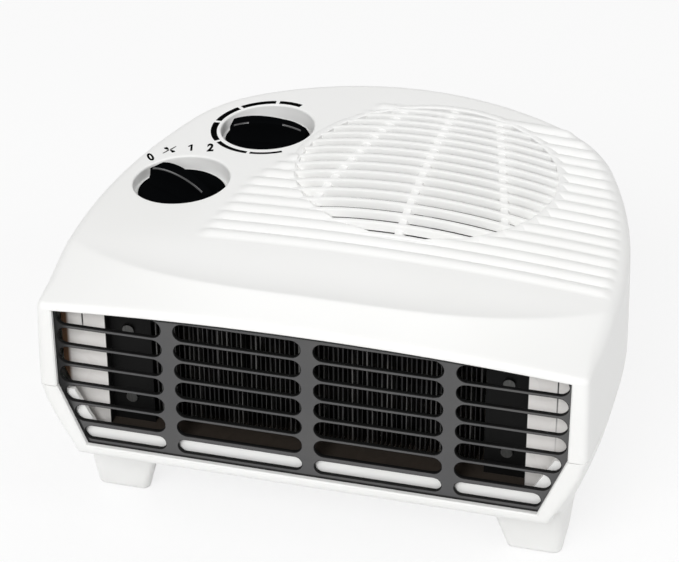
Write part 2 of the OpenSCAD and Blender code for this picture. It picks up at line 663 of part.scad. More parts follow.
// Heating element: flat bars that carry the fins, held at both ends.
fins_front = front + fins_set;
bars_front = fins_front + fin_d;
fins_z = duct_z + sheet_t + fin_gap;
holder_back = 6;
holder_h = duct_top_z - duct_z - sheet_t;
fin_h = holder_h - 2 * fin_gap;
bar_step = fin_h / bar_count;
module heating_bars() {
    color([0.2, 0.2, 0.2]) for (k = [0:bar_count - 1])
        translate([-duct_w + 6, bars_front, fins_z + bar_step * (k + 0.5) - bar_h / 2])
            cube([2 * duct_w - 12, bar_t, bar_h]);
}
fin_n = floor((2 * fins_w - fin_t) / fin_pitch);
module heating_fins() {
    color([0.12, 0.12, 0.12]) for (i = [0:fin_n])
        translate([(i - fin_n / 2) * fin_pitch - fin_t / 2, fins_front, fins_z]) cube([fin_t, fin_d, fin_h]);
}
module holder() {
    difference() {
        translate([fins_w + 1, fins_front, duct_z + sheet_t])
            cube([duct_w - fins_w - 1, fin_d + bar_t + holder_back, holder_h]);
        translate([fins_w, bars_front, fins_z]) for (k = [0:bar_count - 1])
            translate([0, 0, bar_step * (k + 0.5) - bar_h / 2]) cube([duct_w - 6 - fins_w, bar_t, bar_h]);
        for (z = [duct_z + 14, duct_top_z - 14]) translate([duct_w - 9, fins_front - 1, z]) rotate([-90, 0, 0])
            cylinder(h = 7, r = 1.2 + seat_gap, $fn = 16);
    }
}
module right_element_holder() { color([0.1, 0.1, 0.1]) holder(); }
module left_element_holder() { color([0.1, 0.1, 0.1]) mirror([1, 0, 0]) holder(); }
tab_w = 6.3;
tab_t = 0.8;
tab_l = 9;
module element_terminals() {
    color([0.8, 0.7, 0.4]) for (s = [-1, 1]) for (k = [0:bar_count - 1])
        translate([s * (duct_w - 13) - tab_w / 2, bars_front + bar_t + holder_back, fins_z + bar_step * (k + 0.5)])
            cube([tab_w, tab_l, tab_t]);
}
module element_screws() {
    color([0.75, 0.75, 0.76]) for (s = [-1, 1]) for (z = [duct_z + 14, duct_top_z - 14])
        translate([s * (duct_w - 9), fins_front, z]) rotate([-90, 0, 0]) {
            cylinder(h = 5, r = 1.2, $fn = 16);
            translate([0, 0, -1.6]) cylinder(h = 1.6, r = 2.6, $fn = 24);
        }
}
cutout_r = 8;
cutout_at = [-60, duct_front + 24];
module thermal_cutout() {
    color([0.25, 0.2, 0.18]) translate([cutout_at.x, cutout_at.y, duct_top_z + sheet_t]) {
        cylinder(h = 6, r = cutout_r, $fn = 32);
        for (s = [-1, 1]) translate([s * (cutout_r + 2) - 4, -3, 0]) cube([8, 6, 1]);
    }
}
fuse_r = 2;
fuse_l = 12;
fuse_wire = 14;
fuse_at = [40, duct_front + 24];
module thermal_fuse() {
    color([0.85, 0.85, 0.83]) translate([fuse_at.x, fuse_at.y, duct_top_z + sheet_t + fuse_r]) rotate([0, 90, 0]) {
        cylinder(h = fuse_l, r = fuse_r, $fn = 24);
        translate([0, 0, -fuse_wire]) cylinder(h = fuse_l + 2 * fuse_wire, r = 0.5, $fn = 12);
    }
}

// Fan scroll: a floor with a round wall that opens into the duct.
mouth_y = duct_end + ramp_l + 1;
module scroll_plan(shrink) {
    translate(inlet_at) circle(scroll_r - shrink, $fn = 96);
    polygon([[-duct_w + 14 + shrink, mouth_y - (shrink > 0 ? 5 : 0)], [duct_w - 14 - shrink, mouth_y - (shrink > 0 ? 5 : 0)],
        [inlet_at.x + scroll_r - shrink, inlet_at.y], [inlet_at.x - scroll_r + shrink, inlet_at.y]]);
}
shaft_hole = 16;
module fan_scroll() {
    color([0.2, 0.2, 0.21]) difference() {
        union() {
            translate([0, 0, scroll_z]) linear_extrude(scroll_t) difference() {
                scroll_plan(0);
                translate(inlet_at) circle(shaft_hole, $fn = 48);
            }
            translate([0, 0, scroll_z + scroll_t]) linear_extrude(scroll_top - scroll_z - scroll_t) difference() {
                scroll_plan(0);
                scroll_plan(scroll_t);
            }
            for (p = scroll_post_at) {
                translate([p.x, p.y, scroll_z]) cylinder(h = scroll_t, r = 5, $fn = 32);
                translate([inlet_at.x, inlet_at.y, scroll_z]) rotate(bearing(inlet_at, p))
                    translate([scroll_r - 4, -4, 0]) cube([norm(p - inlet_at) - scroll_r + 4, 8, scroll_t]);
            }
        }
        for (p = scroll_post_at) translate([p.x, p.y, scroll_z - 1]) cylinder(h = 4, r = screw_r + 0.2, $fn = 16);
    }
}
module down_screw(p, z, length, r, hr, hh) { translate([0, 0, 2 * z]) mirror([0, 0, 1]) screw(p, z, length, r, hr, hh); }
module scroll_screws() {
    color([0.6, 0.6, 0.62]) for (p = scroll_post_at) down_screw(p, scroll_z + scroll_t, scroll_bite, screw_r, 3, 2);
}

// Motor: shaded-pole type on a steel strip, shaft upright.
strip_t = 1.5;
bridge_t = 1.2;
bridge_rise = 8.5;
stack_z = bracket_z + strip_t + bridge_rise;
bore_r = rotor_r + air_gap;
leg_y = 24;
leg_w = 10;
window_w = 40;
window_y = 15.5;
bearing_r = 5;
bearing_h = 7;
module at_motor(z) { translate([inlet_at.x, inlet_at.y, z]) children(); }
module motor_bracket() {
    color([0.7, 0.7, 0.7]) at_motor(bracket_z) difference() {
        translate([-bracket_half - 6, -9, 0]) cube([2 * bracket_half + 12, 18, strip_t]);
        for (s = [-1, 1]) translate([s * bracket_half, 0, -1]) cylinder(h = strip_t + 2, r = screw_r + 0.2, $fn = 16);
    }
}
module motor_bracket_screws() {
    color([0.6, 0.6, 0.62]) for (p = bracket_post_at) down_screw(p, bracket_z + strip_t, bracket_bite + strip_t, screw_r, 3, 2);
}
module motor_laminations() {
    color([0.45, 0.45, 0.47]) at_motor(stack_z) linear_extrude(stack_h) difference() {
        translate([-stack_w / 2, -20]) square([stack_w, 20 + leg_y + leg_w]);
        circle(bore_r, $fn = 48);
        translate([-window_w / 2, window_y]) square([window_w, leg_y - window_y]);
        for (s = [-1, 1]) translate([s * 22, 0]) circle(1.7, $fn = 24);
    }
}
bobbin_t = 1;
coil_t = 6.5;
coil_l = window_w - 2;
module leg_block(grow, length) {
    translate([-length / 2, leg_y - grow, -grow]) cube([length, leg_w + 2 * grow, stack_h + 2 * grow]);
}
module coil_bobbin() {
    color([0.85, 0.82, 0.7]) at_motor(stack_z) difference() {
        union() {
            leg_block(bobbin_t, coil_l);
            for (s = [-1, 1]) translate([s * (coil_l / 2 - bobbin_t / 2), 0, 0]) leg_block(bobbin_t + coil_t, bobbin_t);
        }
        leg_block(seat_gap, coil_l + 2);
    }
}
module motor_coil() {
    color([0.72, 0.4, 0.2]) at_motor(stack_z) difference() {
        leg_block(bobbin_t + coil_t, coil_l - 2 * bobbin_t);
        leg_block(bobbin_t, coil_l);
    }
}
// A bridge that carries a bearing over the laminations; it points up.
module bridge() {
    difference() {
        union() {
            translate([-28, -7, 0]) cube([12, 14, bridge_t]);
            translate([16, -7, 0]) cube([12, 14, bridge_t]);
            for (s = [-1, 1]) translate([s * 17 - (s > 0 ? 1 : 0.2), -7, 0]) cube([bridge_t, 14, bridge_rise]);
            translate([-18.2 + 1, -7, bridge_rise - bridge_t]) cube([34.4, 14, bridge_t]);
        }
        for (s = [-1, 1]) translate([s * 22, 0, -1]) cylinder(h = 4, r = 1.7, $fn = 24);
        translate([0, 0, bridge_rise - bridge_t - 1]) cylinder(h = 4, r = bearing_r + seat_gap, $fn = 32);
    }
}
module upper_bearing_bridge() { color([0.68, 0.68, 0.7]) at_motor(stack_z + stack_h) bridge(); }
module lower_bearing_bridge() { color([0.68, 0.68, 0.7]) at_motor(stack_z) mirror([0, 0, 1]) bridge(); }
module bearing() {
    difference() {
        translate([0, 0, -1]) cylinder(h = bearing_h - 1, r = bearing_r, $fn = 32);
        translate([0, 0, -2]) cylinder(h = bearing_h + 4, r = shaft_r + run_gap, $fn = 32);
    }
}
upper_bearing_z = stack_z + stack_h + bridge_rise - bridge_t - 3;
lower_bearing_z = stack_z - bridge_rise + 1.3;
module motor_bearings() {
    color([0.75, 0.6, 0.35]) {
        at_motor(upper_bearing_z) bearing();
        at_motor(lower_bearing_z) bearing();
    }
}
module bridge_screws() {
    color([0.6, 0.6, 0.62]) for (s = [-1, 1]) at_motor(stack_z - bridge_t) translate([s * 22, 0, 0]) {
        cylinder(h = stack_h + 2 * bridge_t + 2, r = 1.5, $fn = 24);
        translate([0, 0, stack_h + 2 * bridge_t]) cylinder(h = 2, r = 3, $fn = 6);
        translate([0, 0, -2]) cylinder(h = 2, r = 3, $fn = 24);
    }
}
wheel_z = scroll_z + scroll_t + 2;
wheel_t = 2;
hub_h = 14;
hub_r = 7;
shaft_end = wheel_z + hub_h + 4;
module motor_shaft() {
    color([0.75, 0.75, 0.77]) at_motor(bracket_z + strip_t + 0.6) cylinder(h = shaft_end - bracket_z - strip_t - 0.6, r = shaft_r, $fn = 32);
}
module motor_rotor() {
    color([0.6, 0.6, 0.62]) at_motor(stack_z) difference() {
        cylinder(h = stack_h, r = rotor_r, $fn = 48);
        translate([0, 0, -1]) cylinder(h = stack_h + 2, r = shaft_r, $fn = 32);
    }
}
blade_l = 11;
blade_t = 1.2;
blade_turn = 35;
module fan_wheel() {
    color([0.12, 0.12, 0.13]) at_motor(wheel_z) difference() {
        union() {
            cylinder(h = wheel_t, r = fan_r, $fn = 72);
            cylinder(h = hub_h, r = hub_r, $fn = 32);
            for (i = [0:blade_count - 1]) rotate(i * 360 / blade_count)
                translate([fan_r - blade_l, 0, wheel_t - 0.1]) rotate(blade_turn)
                    translate([0, -blade_t / 2, 0]) cube([blade_l, blade_t, blade_h - wheel_t + 0.1]);
            translate([0, 0, blade_h - 0.1]) difference() {
                cylinder(h = 2, r = fan_r, $fn = 72);
                translate([0, 0, -1]) cylinder(h = 4, r = fan_r - blade_l, $fn = 72);
            }
        }
        translate([0, 0, -1]) cylinder(h = hub_h + 2, r = shaft_r, $fn = 32);
    }
}
module fan_clip() {
    color([0.5, 0.5, 0.52]) at_motor(wheel_z + hub_h) difference() {
        cylinder(h = 1.2, r = 5, $fn = 24);
        translate([0, 0, -1]) cylinder(h = 4, r = shaft_r, $fn = 32);
    }
}

// Rotary switch under its well, with its spindle and knob.
switch_body_w = 30;
switch_body_h = 18;
switch_seat = well_floor(switch_top) - well_wall - control_post_h;
module rotary_switch() {
    color([0.14, 0.14, 0.15]) translate([switch_at.x, switch_at.y, switch_seat - switch_body_h]) difference() {
        union() {
            translate([-switch_body_w / 2, -switch_body_w / 2, 0]) cube([switch_body_w, switch_body_w, switch_body_h - 2]);
            translate([-switch_body_w / 2 - 2, -10, switch_body_h - 2]) cube([switch_body_w + 4, 20, 2]);
            cylinder(h = switch_body_h + control_post_h, r = bush_hole - 1, $fn = 32);
        }
        translate([0, 0, 2]) cylinder(h = switch_body_h + 10, r = spindle_r + run_gap, $fn = 32);
        for (s = [-1, 1]) translate([s * switch_screw_off, 0, switch_body_h - 12]) cylinder(h = 14, r = 2.6, $fn = 24);
    }
}
module switch_tabs() {
    color([0.8, 0.7, 0.4]) for (i = [-1.5:1:1.5])
        translate([switch_at.x + i * 7 - 3, switch_at.y - tab_t / 2, switch_seat - switch_body_h - tab_l]) cube([6, tab_t, tab_l]);
}
module switch_screws() {
    color([0.6, 0.6, 0.62]) for (s = [-1, 1])
        screw(switch_at + [s * switch_screw_off, 0], switch_seat, control_post_h + 0.6, 1.2, 2.4, 1.6);
}
// A knob's underside stands this high over its well's floor, on the spindle's shoulder.
knob_z = 0.5;
knob_top = well_depth + grip_rise - knob_z;
tip_r = 2;
tip_h = knob_top / 2;
module spindle(length) {
    cylinder(h = length, r = spindle_r, $fn = 32);
    translate([0, 0, length - 0.5]) cylinder(h = tip_h + 0.5, r = tip_r, $fn = 32);
}
spindle_foot = switch_seat - switch_body_h + 2.3;
module switch_spindle() {
    color([0.85, 0.85, 0.83]) translate([switch_at.x, switch_at.y, spindle_foot])
        spindle(well_floor(switch_top) + knob_z - spindle_foot);
}
// A knob: a disc with an arched bar across it that widens to its pointing end, drawn along +X.
grip_steps = 12;
grip_tail = grip_l * 0.515;
grip_tail_w = grip_w * 0.52;
function arch(s) = knob_top - 3.4 * pow(abs(s), 2.2);
module knob() {
    difference() {
        union() {
            cylinder(h = knob_disc, r = well_r - knob_gap, $fn = 64);
            intersection() {
                linear_extrude(knob_top + 1) polygon([[-grip_tail, -grip_tail_w / 2], [grip_l - grip_tail, -grip_w / 2],
                    [grip_l - grip_tail, grip_w / 2], [-grip_tail, grip_tail_w / 2]]);
                rotate([90, 0, 0]) translate([0, 0, -grip_w]) linear_extrude(2 * grip_w)
                    polygon(concat([[grip_l, knob_disc / 2], [-grip_l, knob_disc / 2]],
                        [for (i = [0:grip_steps]) let (s = 2 * i / grip_steps - 1) [s * grip_tail, arch(s)]]));
            }
        }
        translate([0, 0, -1]) cylinder(h = tip_h + 1, r = tip_r, $fn = 32);
    }
}
module switch_knob() {
    color([0.05, 0.05, 0.05]) translate([switch_at.x, switch_at.y, well_floor(switch_top) + knob_z])
        rotate(switch_angle) knob();
}

// Thermostat: ceramic base with spring blades under its well.
thermo_seat = well_floor(thermo_top) - well_wall;
thermo_base_h = 5;
nut_t = 2.5;
module thermostat_base() {
    color([0.85, 0.84, 0.8]) translate([thermo_at.x, thermo_at.y, thermo_seat - thermo_base_h]) difference() {
        union() {
            translate([-14, -9, 0]) cube([34, 18, thermo_base_h]);
            cylinder(h = thermo_base_h + well_wall + 0.3, r = bush_hole - 0.3, $fn = 32);
        }
        translate([0, 0, -1]) cylinder(h = thermo_base_h + 10, r = spindle_r + run_gap, $fn = 32);
    }
}
module thermostat_nut() {
    color([0.7, 0.7, 0.7]) translate([thermo_at.x, thermo_at.y, thermo_seat - thermo_base_h - nut_t]) difference() {
        cylinder(h = nut_t, r = 5.5, $fn = 6);
        translate([0, 0, -1]) cylinder(h = nut_t + 2, r = spindle_r + run_gap, $fn = 32);
    }
}
module thermostat_blades() {
    color([0.72, 0.62, 0.4]) translate([thermo_at.x, thermo_at.y, thermo_seat - thermo_base_h]) {
        translate([8, -3, -12]) cube([8, 6, 12]);
        translate([-14, -3, -9]) cube([22, 6, 0.5]);
        translate([-14, -3, -12]) cube([22, 6, 0.8]);
    }
}
spindle_below = 8;
module thermostat_spindle() {
    z0 = thermo_seat - thermo_base_h - spindle_below;
    color([0.85, 0.85, 0.83]) translate([thermo_at.x, thermo_at.y, z0]) spindle(well_floor(thermo_top) + knob_z - z0);
}
module thermostat_knob() {
    color([0.05, 0.05, 0.05]) translate([thermo_at.x, thermo_at.y, well_floor(thermo_top) + knob_z])
        rotate(thermo_angle) knob();
}

module terminal_block() {
    color([0.9, 0.88, 0.8]) translate([block_at.x, block_at.y, block_z]) difference() {
        translate([-block_l / 2, -block_w / 2, 0]) cube([block_l, block_w, block_h]);
        for (s = [-1, 1]) translate([s * block_hole, 0, -1]) cylinder(h = block_h + 2, r = 1.5, $fn = 24);
        for (x = [-4, 4]) translate([x, 0, 4]) cylinder(h = 8, r = 1.6, $fn = 24);
    }
}

// Bush in the back wall that the supply cord enters through.
bush_nut = 4;
bush_y = back - 22;
module cord_bush() {
    color([0.88, 0.88, 0.87]) translate([bush_at.x, bush_y, bush_z]) rotate([-90, 0, 0]) difference() {
        union() {
            cylinder(h = bush_l, r = bush_r, $fn = 48);
            cylinder(h = bush_nut, r = bush_r + 2.5, $fn = 6);
        }
        translate([0, 0, -1]) cylinder(h = bush_l + 2, r = cord_r, $fn = 48);
    }
}

upper_shell();
lower_shell();
outlet_grille();
rubber_pads();
case_screws();
left_side_plate();
right_side_plate();
duct_roof();
duct_floor();
left_element_holder();
right_element_holder();
heating_bars();
heating_fins();
element_terminals();
element_screws();
thermal_cutout();
thermal_fuse();
fan_scroll();
scroll_screws();
motor_bracket();
motor_bracket_screws();
lower_bearing_bridge();
upper_bearing_bridge();
motor_bearings();
motor_laminations();
coil_bobbin();
motor_coil();
bridge_screws();
motor_shaft();
motor_rotor();
fan_wheel();
fan_clip();
rotary_switch();
switch_tabs();
switch_spindle();
switch_knob();
switch_screws();
thermostat_base();
thermostat_blades();
thermostat_spindle();
thermostat_knob();
thermostat_nut();
terminal_block();
cord_bush();
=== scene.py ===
import math
import random

import bmesh
import bpy
from mathutils import Matrix, Vector


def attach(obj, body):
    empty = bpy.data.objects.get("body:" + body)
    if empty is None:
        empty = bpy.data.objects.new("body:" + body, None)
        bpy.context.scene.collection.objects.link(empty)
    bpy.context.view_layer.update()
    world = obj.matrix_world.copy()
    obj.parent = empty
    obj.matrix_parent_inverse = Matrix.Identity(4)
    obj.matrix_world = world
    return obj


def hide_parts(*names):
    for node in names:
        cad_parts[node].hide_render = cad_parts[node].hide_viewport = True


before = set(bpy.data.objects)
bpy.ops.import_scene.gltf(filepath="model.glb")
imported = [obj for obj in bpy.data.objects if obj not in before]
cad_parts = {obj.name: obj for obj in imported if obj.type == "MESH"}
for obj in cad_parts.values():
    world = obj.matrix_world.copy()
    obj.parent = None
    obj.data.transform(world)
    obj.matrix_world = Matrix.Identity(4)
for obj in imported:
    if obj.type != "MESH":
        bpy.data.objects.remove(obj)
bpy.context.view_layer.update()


# The viewpoint: in front of the heater, a little to its right and well above it, with a long lens,
# so that the whole body fills the frame as the photograph shows it.
AZIMUTH = math.radians(14.83)
ELEVATION = math.radians(32.25)
ROLL = math.radians(-0.3)
EYE = Vector((0.2320, -0.9277, 0.6834))
FOCAL_PIXELS = 2398.5
IMAGE_WIDTH = 679

camera_data = bpy.data.cameras.new("camera")
camera_data.sensor_width = 36
camera_data.lens = FOCAL_PIXELS * camera_data.sensor_width / IMAGE_WIDTH
camera_data.clip_start = 0.05
camera_data.clip_end = 20
camera = bpy.data.objects.new("camera", camera_data)
bpy.context.scene.collection.objects.link(camera)
back = Vector((math.sin(AZIMUTH) * math.cos(ELEVATION), -math.cos(AZIMUTH) * math.cos(ELEVATION),
               math.sin(ELEVATION)))
level_right = Vector((math.cos(AZIMUTH), math.sin(AZIMUTH), 0))
level_up = back.cross(level_right)
right = level_right * math.cos(ROLL) + level_up * math.sin(ROLL)
up = level_up * math.cos(ROLL) - level_right * math.sin(ROLL)
camera.matrix_world = Matrix((
    (right.x, up.x, back.x, EYE.x),
    (right.y, up.y, back.y, EYE.y),
    (right.z, up.z, back.z, EYE.z),
    (0, 0, 0, 1)))
bpy.context.scene.camera = camera
bpy.context.scene.view_settings.view_transform = "Standard"


# The floor and the studio: a pale floor that keeps the heater's shadow, a white surround, and four
# soft lamps. The node wrapper that every finish uses is defined here, where it is first needed.
class Socket:
    """A shader value. Sums on it add Math nodes; colours go through blend()."""

    def __init__(self, finish, output):
        self.finish = finish
        self.output = output

    def sum(self, operation, first, second=None):
        return self.finish.node("ShaderNodeMath", {"operation": operation}, {0: first, 1: second})

    def __add__(self, other):
        return self.sum("ADD", self, other)

    __radd__ = __add__

    def __mul__(self, other):
        return self.sum("MULTIPLY", self, other)

    __rmul__ = __mul__

    def __sub__(self, other):
        return self.sum("SUBTRACT", self, other)

    def __rsub__(self, other):
        return self.sum("SUBTRACT", other, self)

    def sine(self):
        return self.sum("SINE", self)

    def smooth_step(self, low, high):
        """0 below low, 1 above high, smooth between."""
        return self.finish.node("ShaderNodeMapRange", {"interpolation_type": "SMOOTHSTEP"},
                                {"Value": self, "From Min": low, "From Max": high})


class Finish:
    """A material under construction: fixed values go on its shader, and node() adds the rest."""

    def __init__(self, name, roughness=0.5, metallic=0.0, specular=0.5, coat=0.0, colour=(0.5, 0.5, 0.5)):
        self.material = bpy.data.materials.new(name)
        self.material.use_nodes = True
        self.tree = self.material.node_tree
        self.shader = self.tree.nodes["Principled BSDF"]
        self.shader.inputs["Roughness"].default_value = roughness
        self.shader.inputs["Metallic"].default_value = metallic
        self.shader.inputs["Specular IOR Level"].default_value = specular
        self.shader.inputs["Coat Weight"].default_value = coat
        self.shader.inputs["Base Color"].default_value = (*colour, 1)
        self.material.diffuse_color = (*colour, 1)

    def node(self, kind, settings=None, values=None, output=0):
        made = self.tree.nodes.new(kind)
        for name, value in (settings or {}).items():
            if name == "stops":
                ramp = made.color_ramp
                for place, colour in value[1:-1]:
                    ramp.elements.new(place).color = (*colour, 1)
                ramp.elements[0].position, ramp.elements[0].color = value[0][0], (*value[0][1], 1)
                last = ramp.elements[len(ramp.elements) - 1]
                last.position, last.color = value[-1][0], (*value[-1][1], 1)
            else:
                setattr(made, name, value)
        for name, value in (values or {}).items():
            if value is None:
                continue
            if isinstance(value, Socket):
                self.tree.links.new(value.output, made.inputs[name])
            else:
                made.inputs[name].default_value = value
        return Socket(self, made.outputs[output])

    def place(self):
        """The point on the piece in metres, in the object's own frame."""
        return self.node("ShaderNodeTexCoord", output="Object")

    def axis(self, letter):
        return self.node("ShaderNodeSeparateXYZ", values={"Vector": self.place()}, output=letter)

    def stretched(self, x, y, z):
        return self.node("ShaderNodeMapping", values={"Vector": self.place(), "Scale": (x, y, z)})

    def noise(self, scale, detail=3.0, vector=None):
        return self.node("ShaderNodeTexNoise", values={
            "Vector": vector or self.place(), "Scale": scale, "Detail": detail}, output="Fac")

    def blend(self, factor, first, second):
        """A colour between two, by a factor."""
        made = self.tree.nodes.new("ShaderNodeMix")
        made.data_type = "RGBA"
        self.tree.links.new(factor.output, made.inputs["Factor"])
        for slot, value in (("A", first), ("B", second)):
            socket = next(s for s in made.inputs if s.name == slot and s.type == "RGBA")
            if isinstance(value, Socket):
                self.tree.links.new(value.output, socket)
            else:
                socket.default_value = (*value, 1)
        return Socket(self, next(s for s in made.outputs if s.type == "RGBA"))

    def feed(self, name, socket):
        self.tree.links.new(socket.output, self.shader.inputs[name])

    def bump(self, height, depth, strength=1.0):
        """Relief of a depth in metres."""
        self.feed("Normal", self.node("ShaderNodeBump", values={
            "Height": height, "Distance": depth, "Strength": strength}, output="Normal"))


def link(name, mesh, *materials):
    made = bpy.data.objects.new(name, mesh)
    bpy.context.scene.collection.objects.link(made)
    for material in materials:
        mesh.materials.append(material)
    return made


FLOOR_SIZE = 6.0
FLOOR_GLOW = 0.8
SKY_STRENGTH = 0.27
floor_finish = Finish("floor_paint", roughness=0.9, colour=(0.9, 0.9, 0.9))
floor_shader = floor_finish.tree.nodes["Principled BSDF"]
floor_glow = floor_finish.tree.nodes.new("ShaderNodeEmission")
floor_glow.inputs["Color"].default_value = (1, 1, 1, 1)
light_path = floor_finish.tree.nodes.new("ShaderNodeLightPath")
seen = Socket(floor_finish, light_path.outputs["Is Camera Ray"])
mirrored = Socket(floor_finish, light_path.outputs["Is Glossy Ray"])
through = Socket(floor_finish, light_path.outputs["Is Transmission Ray"])
floor_mix = floor_finish.tree.nodes.new("ShaderNodeMixShader")
share = (seen + mirrored + through) * FLOOR_GLOW
floor_finish.tree.links.new(share.output, floor_mix.inputs["Fac"])
floor_finish.tree.links.new(floor_shader.outputs["BSDF"], floor_mix.inputs[1])
floor_finish.tree.links.new(floor_glow.outputs["Emission"], floor_mix.inputs[2])
floor_finish.tree.links.new(floor_mix.outputs["Shader"],
                            floor_finish.tree.nodes["Material Output"].inputs["Surface"])
floor_form = bmesh.new()
bmesh.ops.create_grid(floor_form, x_segments=1, y_segments=1, size=FLOOR_SIZE / 2)
floor_mesh = bpy.data.meshes.new("floor")
floor_form.to_mesh(floor_mesh)
floor_form.free()
floor = link("floor", floor_mesh, floor_finish.material)

world = bpy.data.worlds.new("studio")
bpy.context.scene.world = world
world.use_nodes = True
studio = world.node_tree
sky = studio.nodes["Background"]
sky.inputs["Color"].default_value = (1, 1, 1, 1)
sky.inputs["Strength"].default_value = SKY_STRENGTH
surround = studio.nodes.new("ShaderNodeBackground")
surround.inputs["Color"].default_value = (1, 1, 1, 1)
surround.inputs["Strength"].default_value = 1.0
rays = studio.nodes.new("ShaderNodeLightPath")
all_seen = rays.outputs["Is Camera Ray"]
for ray in ("Is Glossy Ray", "Is Transmission Ray"):
    added = studio.nodes.new("ShaderNodeMath")
    added.operation = "ADD"
    studio.links.new(all_seen, added.inputs[0])
    studio.links.new(rays.outputs[ray], added.inputs[1])
    all_seen = added.outputs[0]
studio_mix = studio.nodes.new("ShaderNodeMixShader")
studio.links.new(all_seen, studio_mix.inputs["Fac"])
studio.links.new(sky.outputs["Background"], studio_mix.inputs[1])
studio.links.new(surround.outputs["Background"], studio_mix.inputs[2])
studio.links.new(studio_mix.outputs["Shader"], studio.nodes["World Output"].inputs["Surface"])

LAMP_AIM = Vector((0, 0, 0.06))


def lamp(name, place, size, watts):
    data = bpy.data.lights.new(name, "AREA")
    data.shape = "DISK"
    data.size = size
    data.energy = watts
    made = bpy.data.objects.new(name, data)
    bpy.context.scene.collection.objects.link(made)
    made.location = place
    made.rotation_euler = (LAMP_AIM - Vector(place)).to_track_quat("-Z", "Y").to_euler()


lamp("front_lamp", (-0.3, -2.0, 1.55), 1.2, 37)
lamp("left_lamp", (-1.8, 0.3, 1.5), 1.0, 6)
lamp("right_lamp", (2.1, -0.5, 1.6), 1.2, 17)
lamp("top_lamp", (0.2, 0.5, 2.2), 1.4, 8)


# The housing's plan and top: one outline of five arcs on each side, a top that is crowned across, a
# brow that falls to the front edge, and moulded ribs. Both shells are drawn from these, in millimetres.
MM = 0.001
DEPTH = 220.0
FRONT = -DEPTH / 2
HALF_WIDTH = 126.2
BODY_HEIGHT = 128.0
CROWN_DROP = 6.5
SEAM_Z = 74.0
FLARE = 1.3
WALL = 2.5
CORNER_R = 4.0
FLANK_R = 550.0
SIDE_R = 260.0
SHOULDER_R = 62.0
BACK_R = 160.0
WIDEST_Y = -43.0
FRONT_EDGE_R = 2.6
EDGE_R = 6.0
EDGE_CHANGE = 24.0
BROW_DROP = 6.0
BROW_BEND = 0.12
BROW_START = 4.0
CREASE_Y = 17.5
CREASE_SWEEP = 25.0
CREASE_REACH = 116.0
SCOOP_DEPTH = 1.4
RIB_PITCH = 8.28
RIB_START = 60.8
RIBS_NEAR = 58
RIB_COUNT = 17
RIB_RISE = 1.3
RIB_FADE = 4.0
INLET = Vector((22.1, FRONT + 137.5))
GRID = INLET + Vector((0.0, -1.0))
GRID_R = 63.2
INLET_DOME = 5.0
SWITCH = Vector((-89.0, FRONT + 106.5))
THERMOSTAT = Vector((-63.3, FRONT + 163.0))


def meeting(p, a, q, b):
    """The point at a from p and b from q, on the right of the way from p to q."""
    way = q - p
    apart = way.length
    along = (a * a - b * b + apart * apart) / (2 * apart)
    return p + way * along / apart + Vector((-way.y, way.x)) / apart * math.sqrt(a * a - along * along)


def bearing(p, q):
    return math.atan2(q.y - p.y, q.x - p.x)


flank_c = Vector((HALF_WIDTH - FLANK_R, WIDEST_Y))
side_c = Vector((HALF_WIDTH - SIDE_R, WIDEST_Y))
back_c = Vector((0.0, -FRONT - BACK_R))
corner_c = Vector((flank_c.x + math.sqrt((FLANK_R - CORNER_R) ** 2 - (FRONT + CORNER_R - WIDEST_Y) ** 2),
                   FRONT + CORNER_R))
shoulder_c = meeting(side_c, SIDE_R - SHOULDER_R, back_c, BACK_R - SHOULDER_R)
flank_from = bearing(flank_c, corner_c)
shoulder_from = bearing(side_c, shoulder_c)
shoulder_to = bearing(back_c, shoulder_c)
arcs = [(corner_c, CORNER_R, -math.pi / 2, flank_from), (flank_c, FLANK_R, flank_from, 0.0),
        (side_c, SIDE_R, 0.0, shoulder_from), (shoulder_c, SHOULDER_R, shoulder_from, shoulder_to),
        (back_c, BACK_R, shoulder_to, math.pi / 2)]


def outline(front_step, rib_step, arc_step):
    """Points down the right side with their outward directions. A step advances by about front_step in
    depth up to the first rib and by rib_step behind it, and by about arc_step at most along its arc."""
    found = []
    for centre, radius, start, end in arcs:
        turn = start
        while turn < end - 1e-6:
            out = Vector((math.cos(turn), math.sin(turn)))
            point = centre + radius * out
            found.append((point, out))
            rise = front_step if point.y < FRONT + RIBS_NEAR else rib_step
            advance = min(rise / max(math.cos(turn), 0.05), arc_step, radius * 0.35) / radius
            rest = end - turn
            turn += advance if rest > 1.5 * advance else rest
    found.append((Vector((0.0, -FRONT)), Vector((0.0, 1.0))))
    return found


def ease(t):
    t = min(1.0, max(0.0, t))
    return t * t * (3 - 2 * t)


def crown(x):
    return BODY_HEIGHT - CROWN_DROP * (x / HALF_WIDTH) ** 2


def crease(x):
    return FRONT + CREASE_Y + CREASE_SWEEP * min(1.1, abs(x) / CREASE_REACH) ** 3


SCOOP_END = FRONT + RIB_START - RIB_PITCH / 2
# The greatest value of t (1 - t)^2 is 4 / 27, and this brings it to 1.
SCOOP_PEAK = 27 / 4


def plain_top(x, y):
    """Height of the top without its ribs."""
    line = crease(x)
    front_line = FRONT + BROW_START
    if y < line:
        share = (line - y) / (line - front_line)
        return crown(x) - BROW_DROP * share * (1 - BROW_BEND * min(1.0, share))
    t = (y - line) / (SCOOP_END - line)
    if 0 < t < 1:
        return crown(x) - SCOOP_DEPTH * SCOOP_PEAK * t * (1 - t) ** 2 * max(0.0, 1 - (x / CREASE_REACH) ** 2)
    return crown(x)


def rib_left(y):
    """Left end of a rib: a slanted line that swings round the thermostat's printed scale."""
    d = y - FRONT
    if d < 112:
        return -66.5 + 0.16 * (d - 55)
    if d < 153:
        return -57.5 + 0.49 * (d - 112)
    return -37.5 + 0.5 * (d - 153)


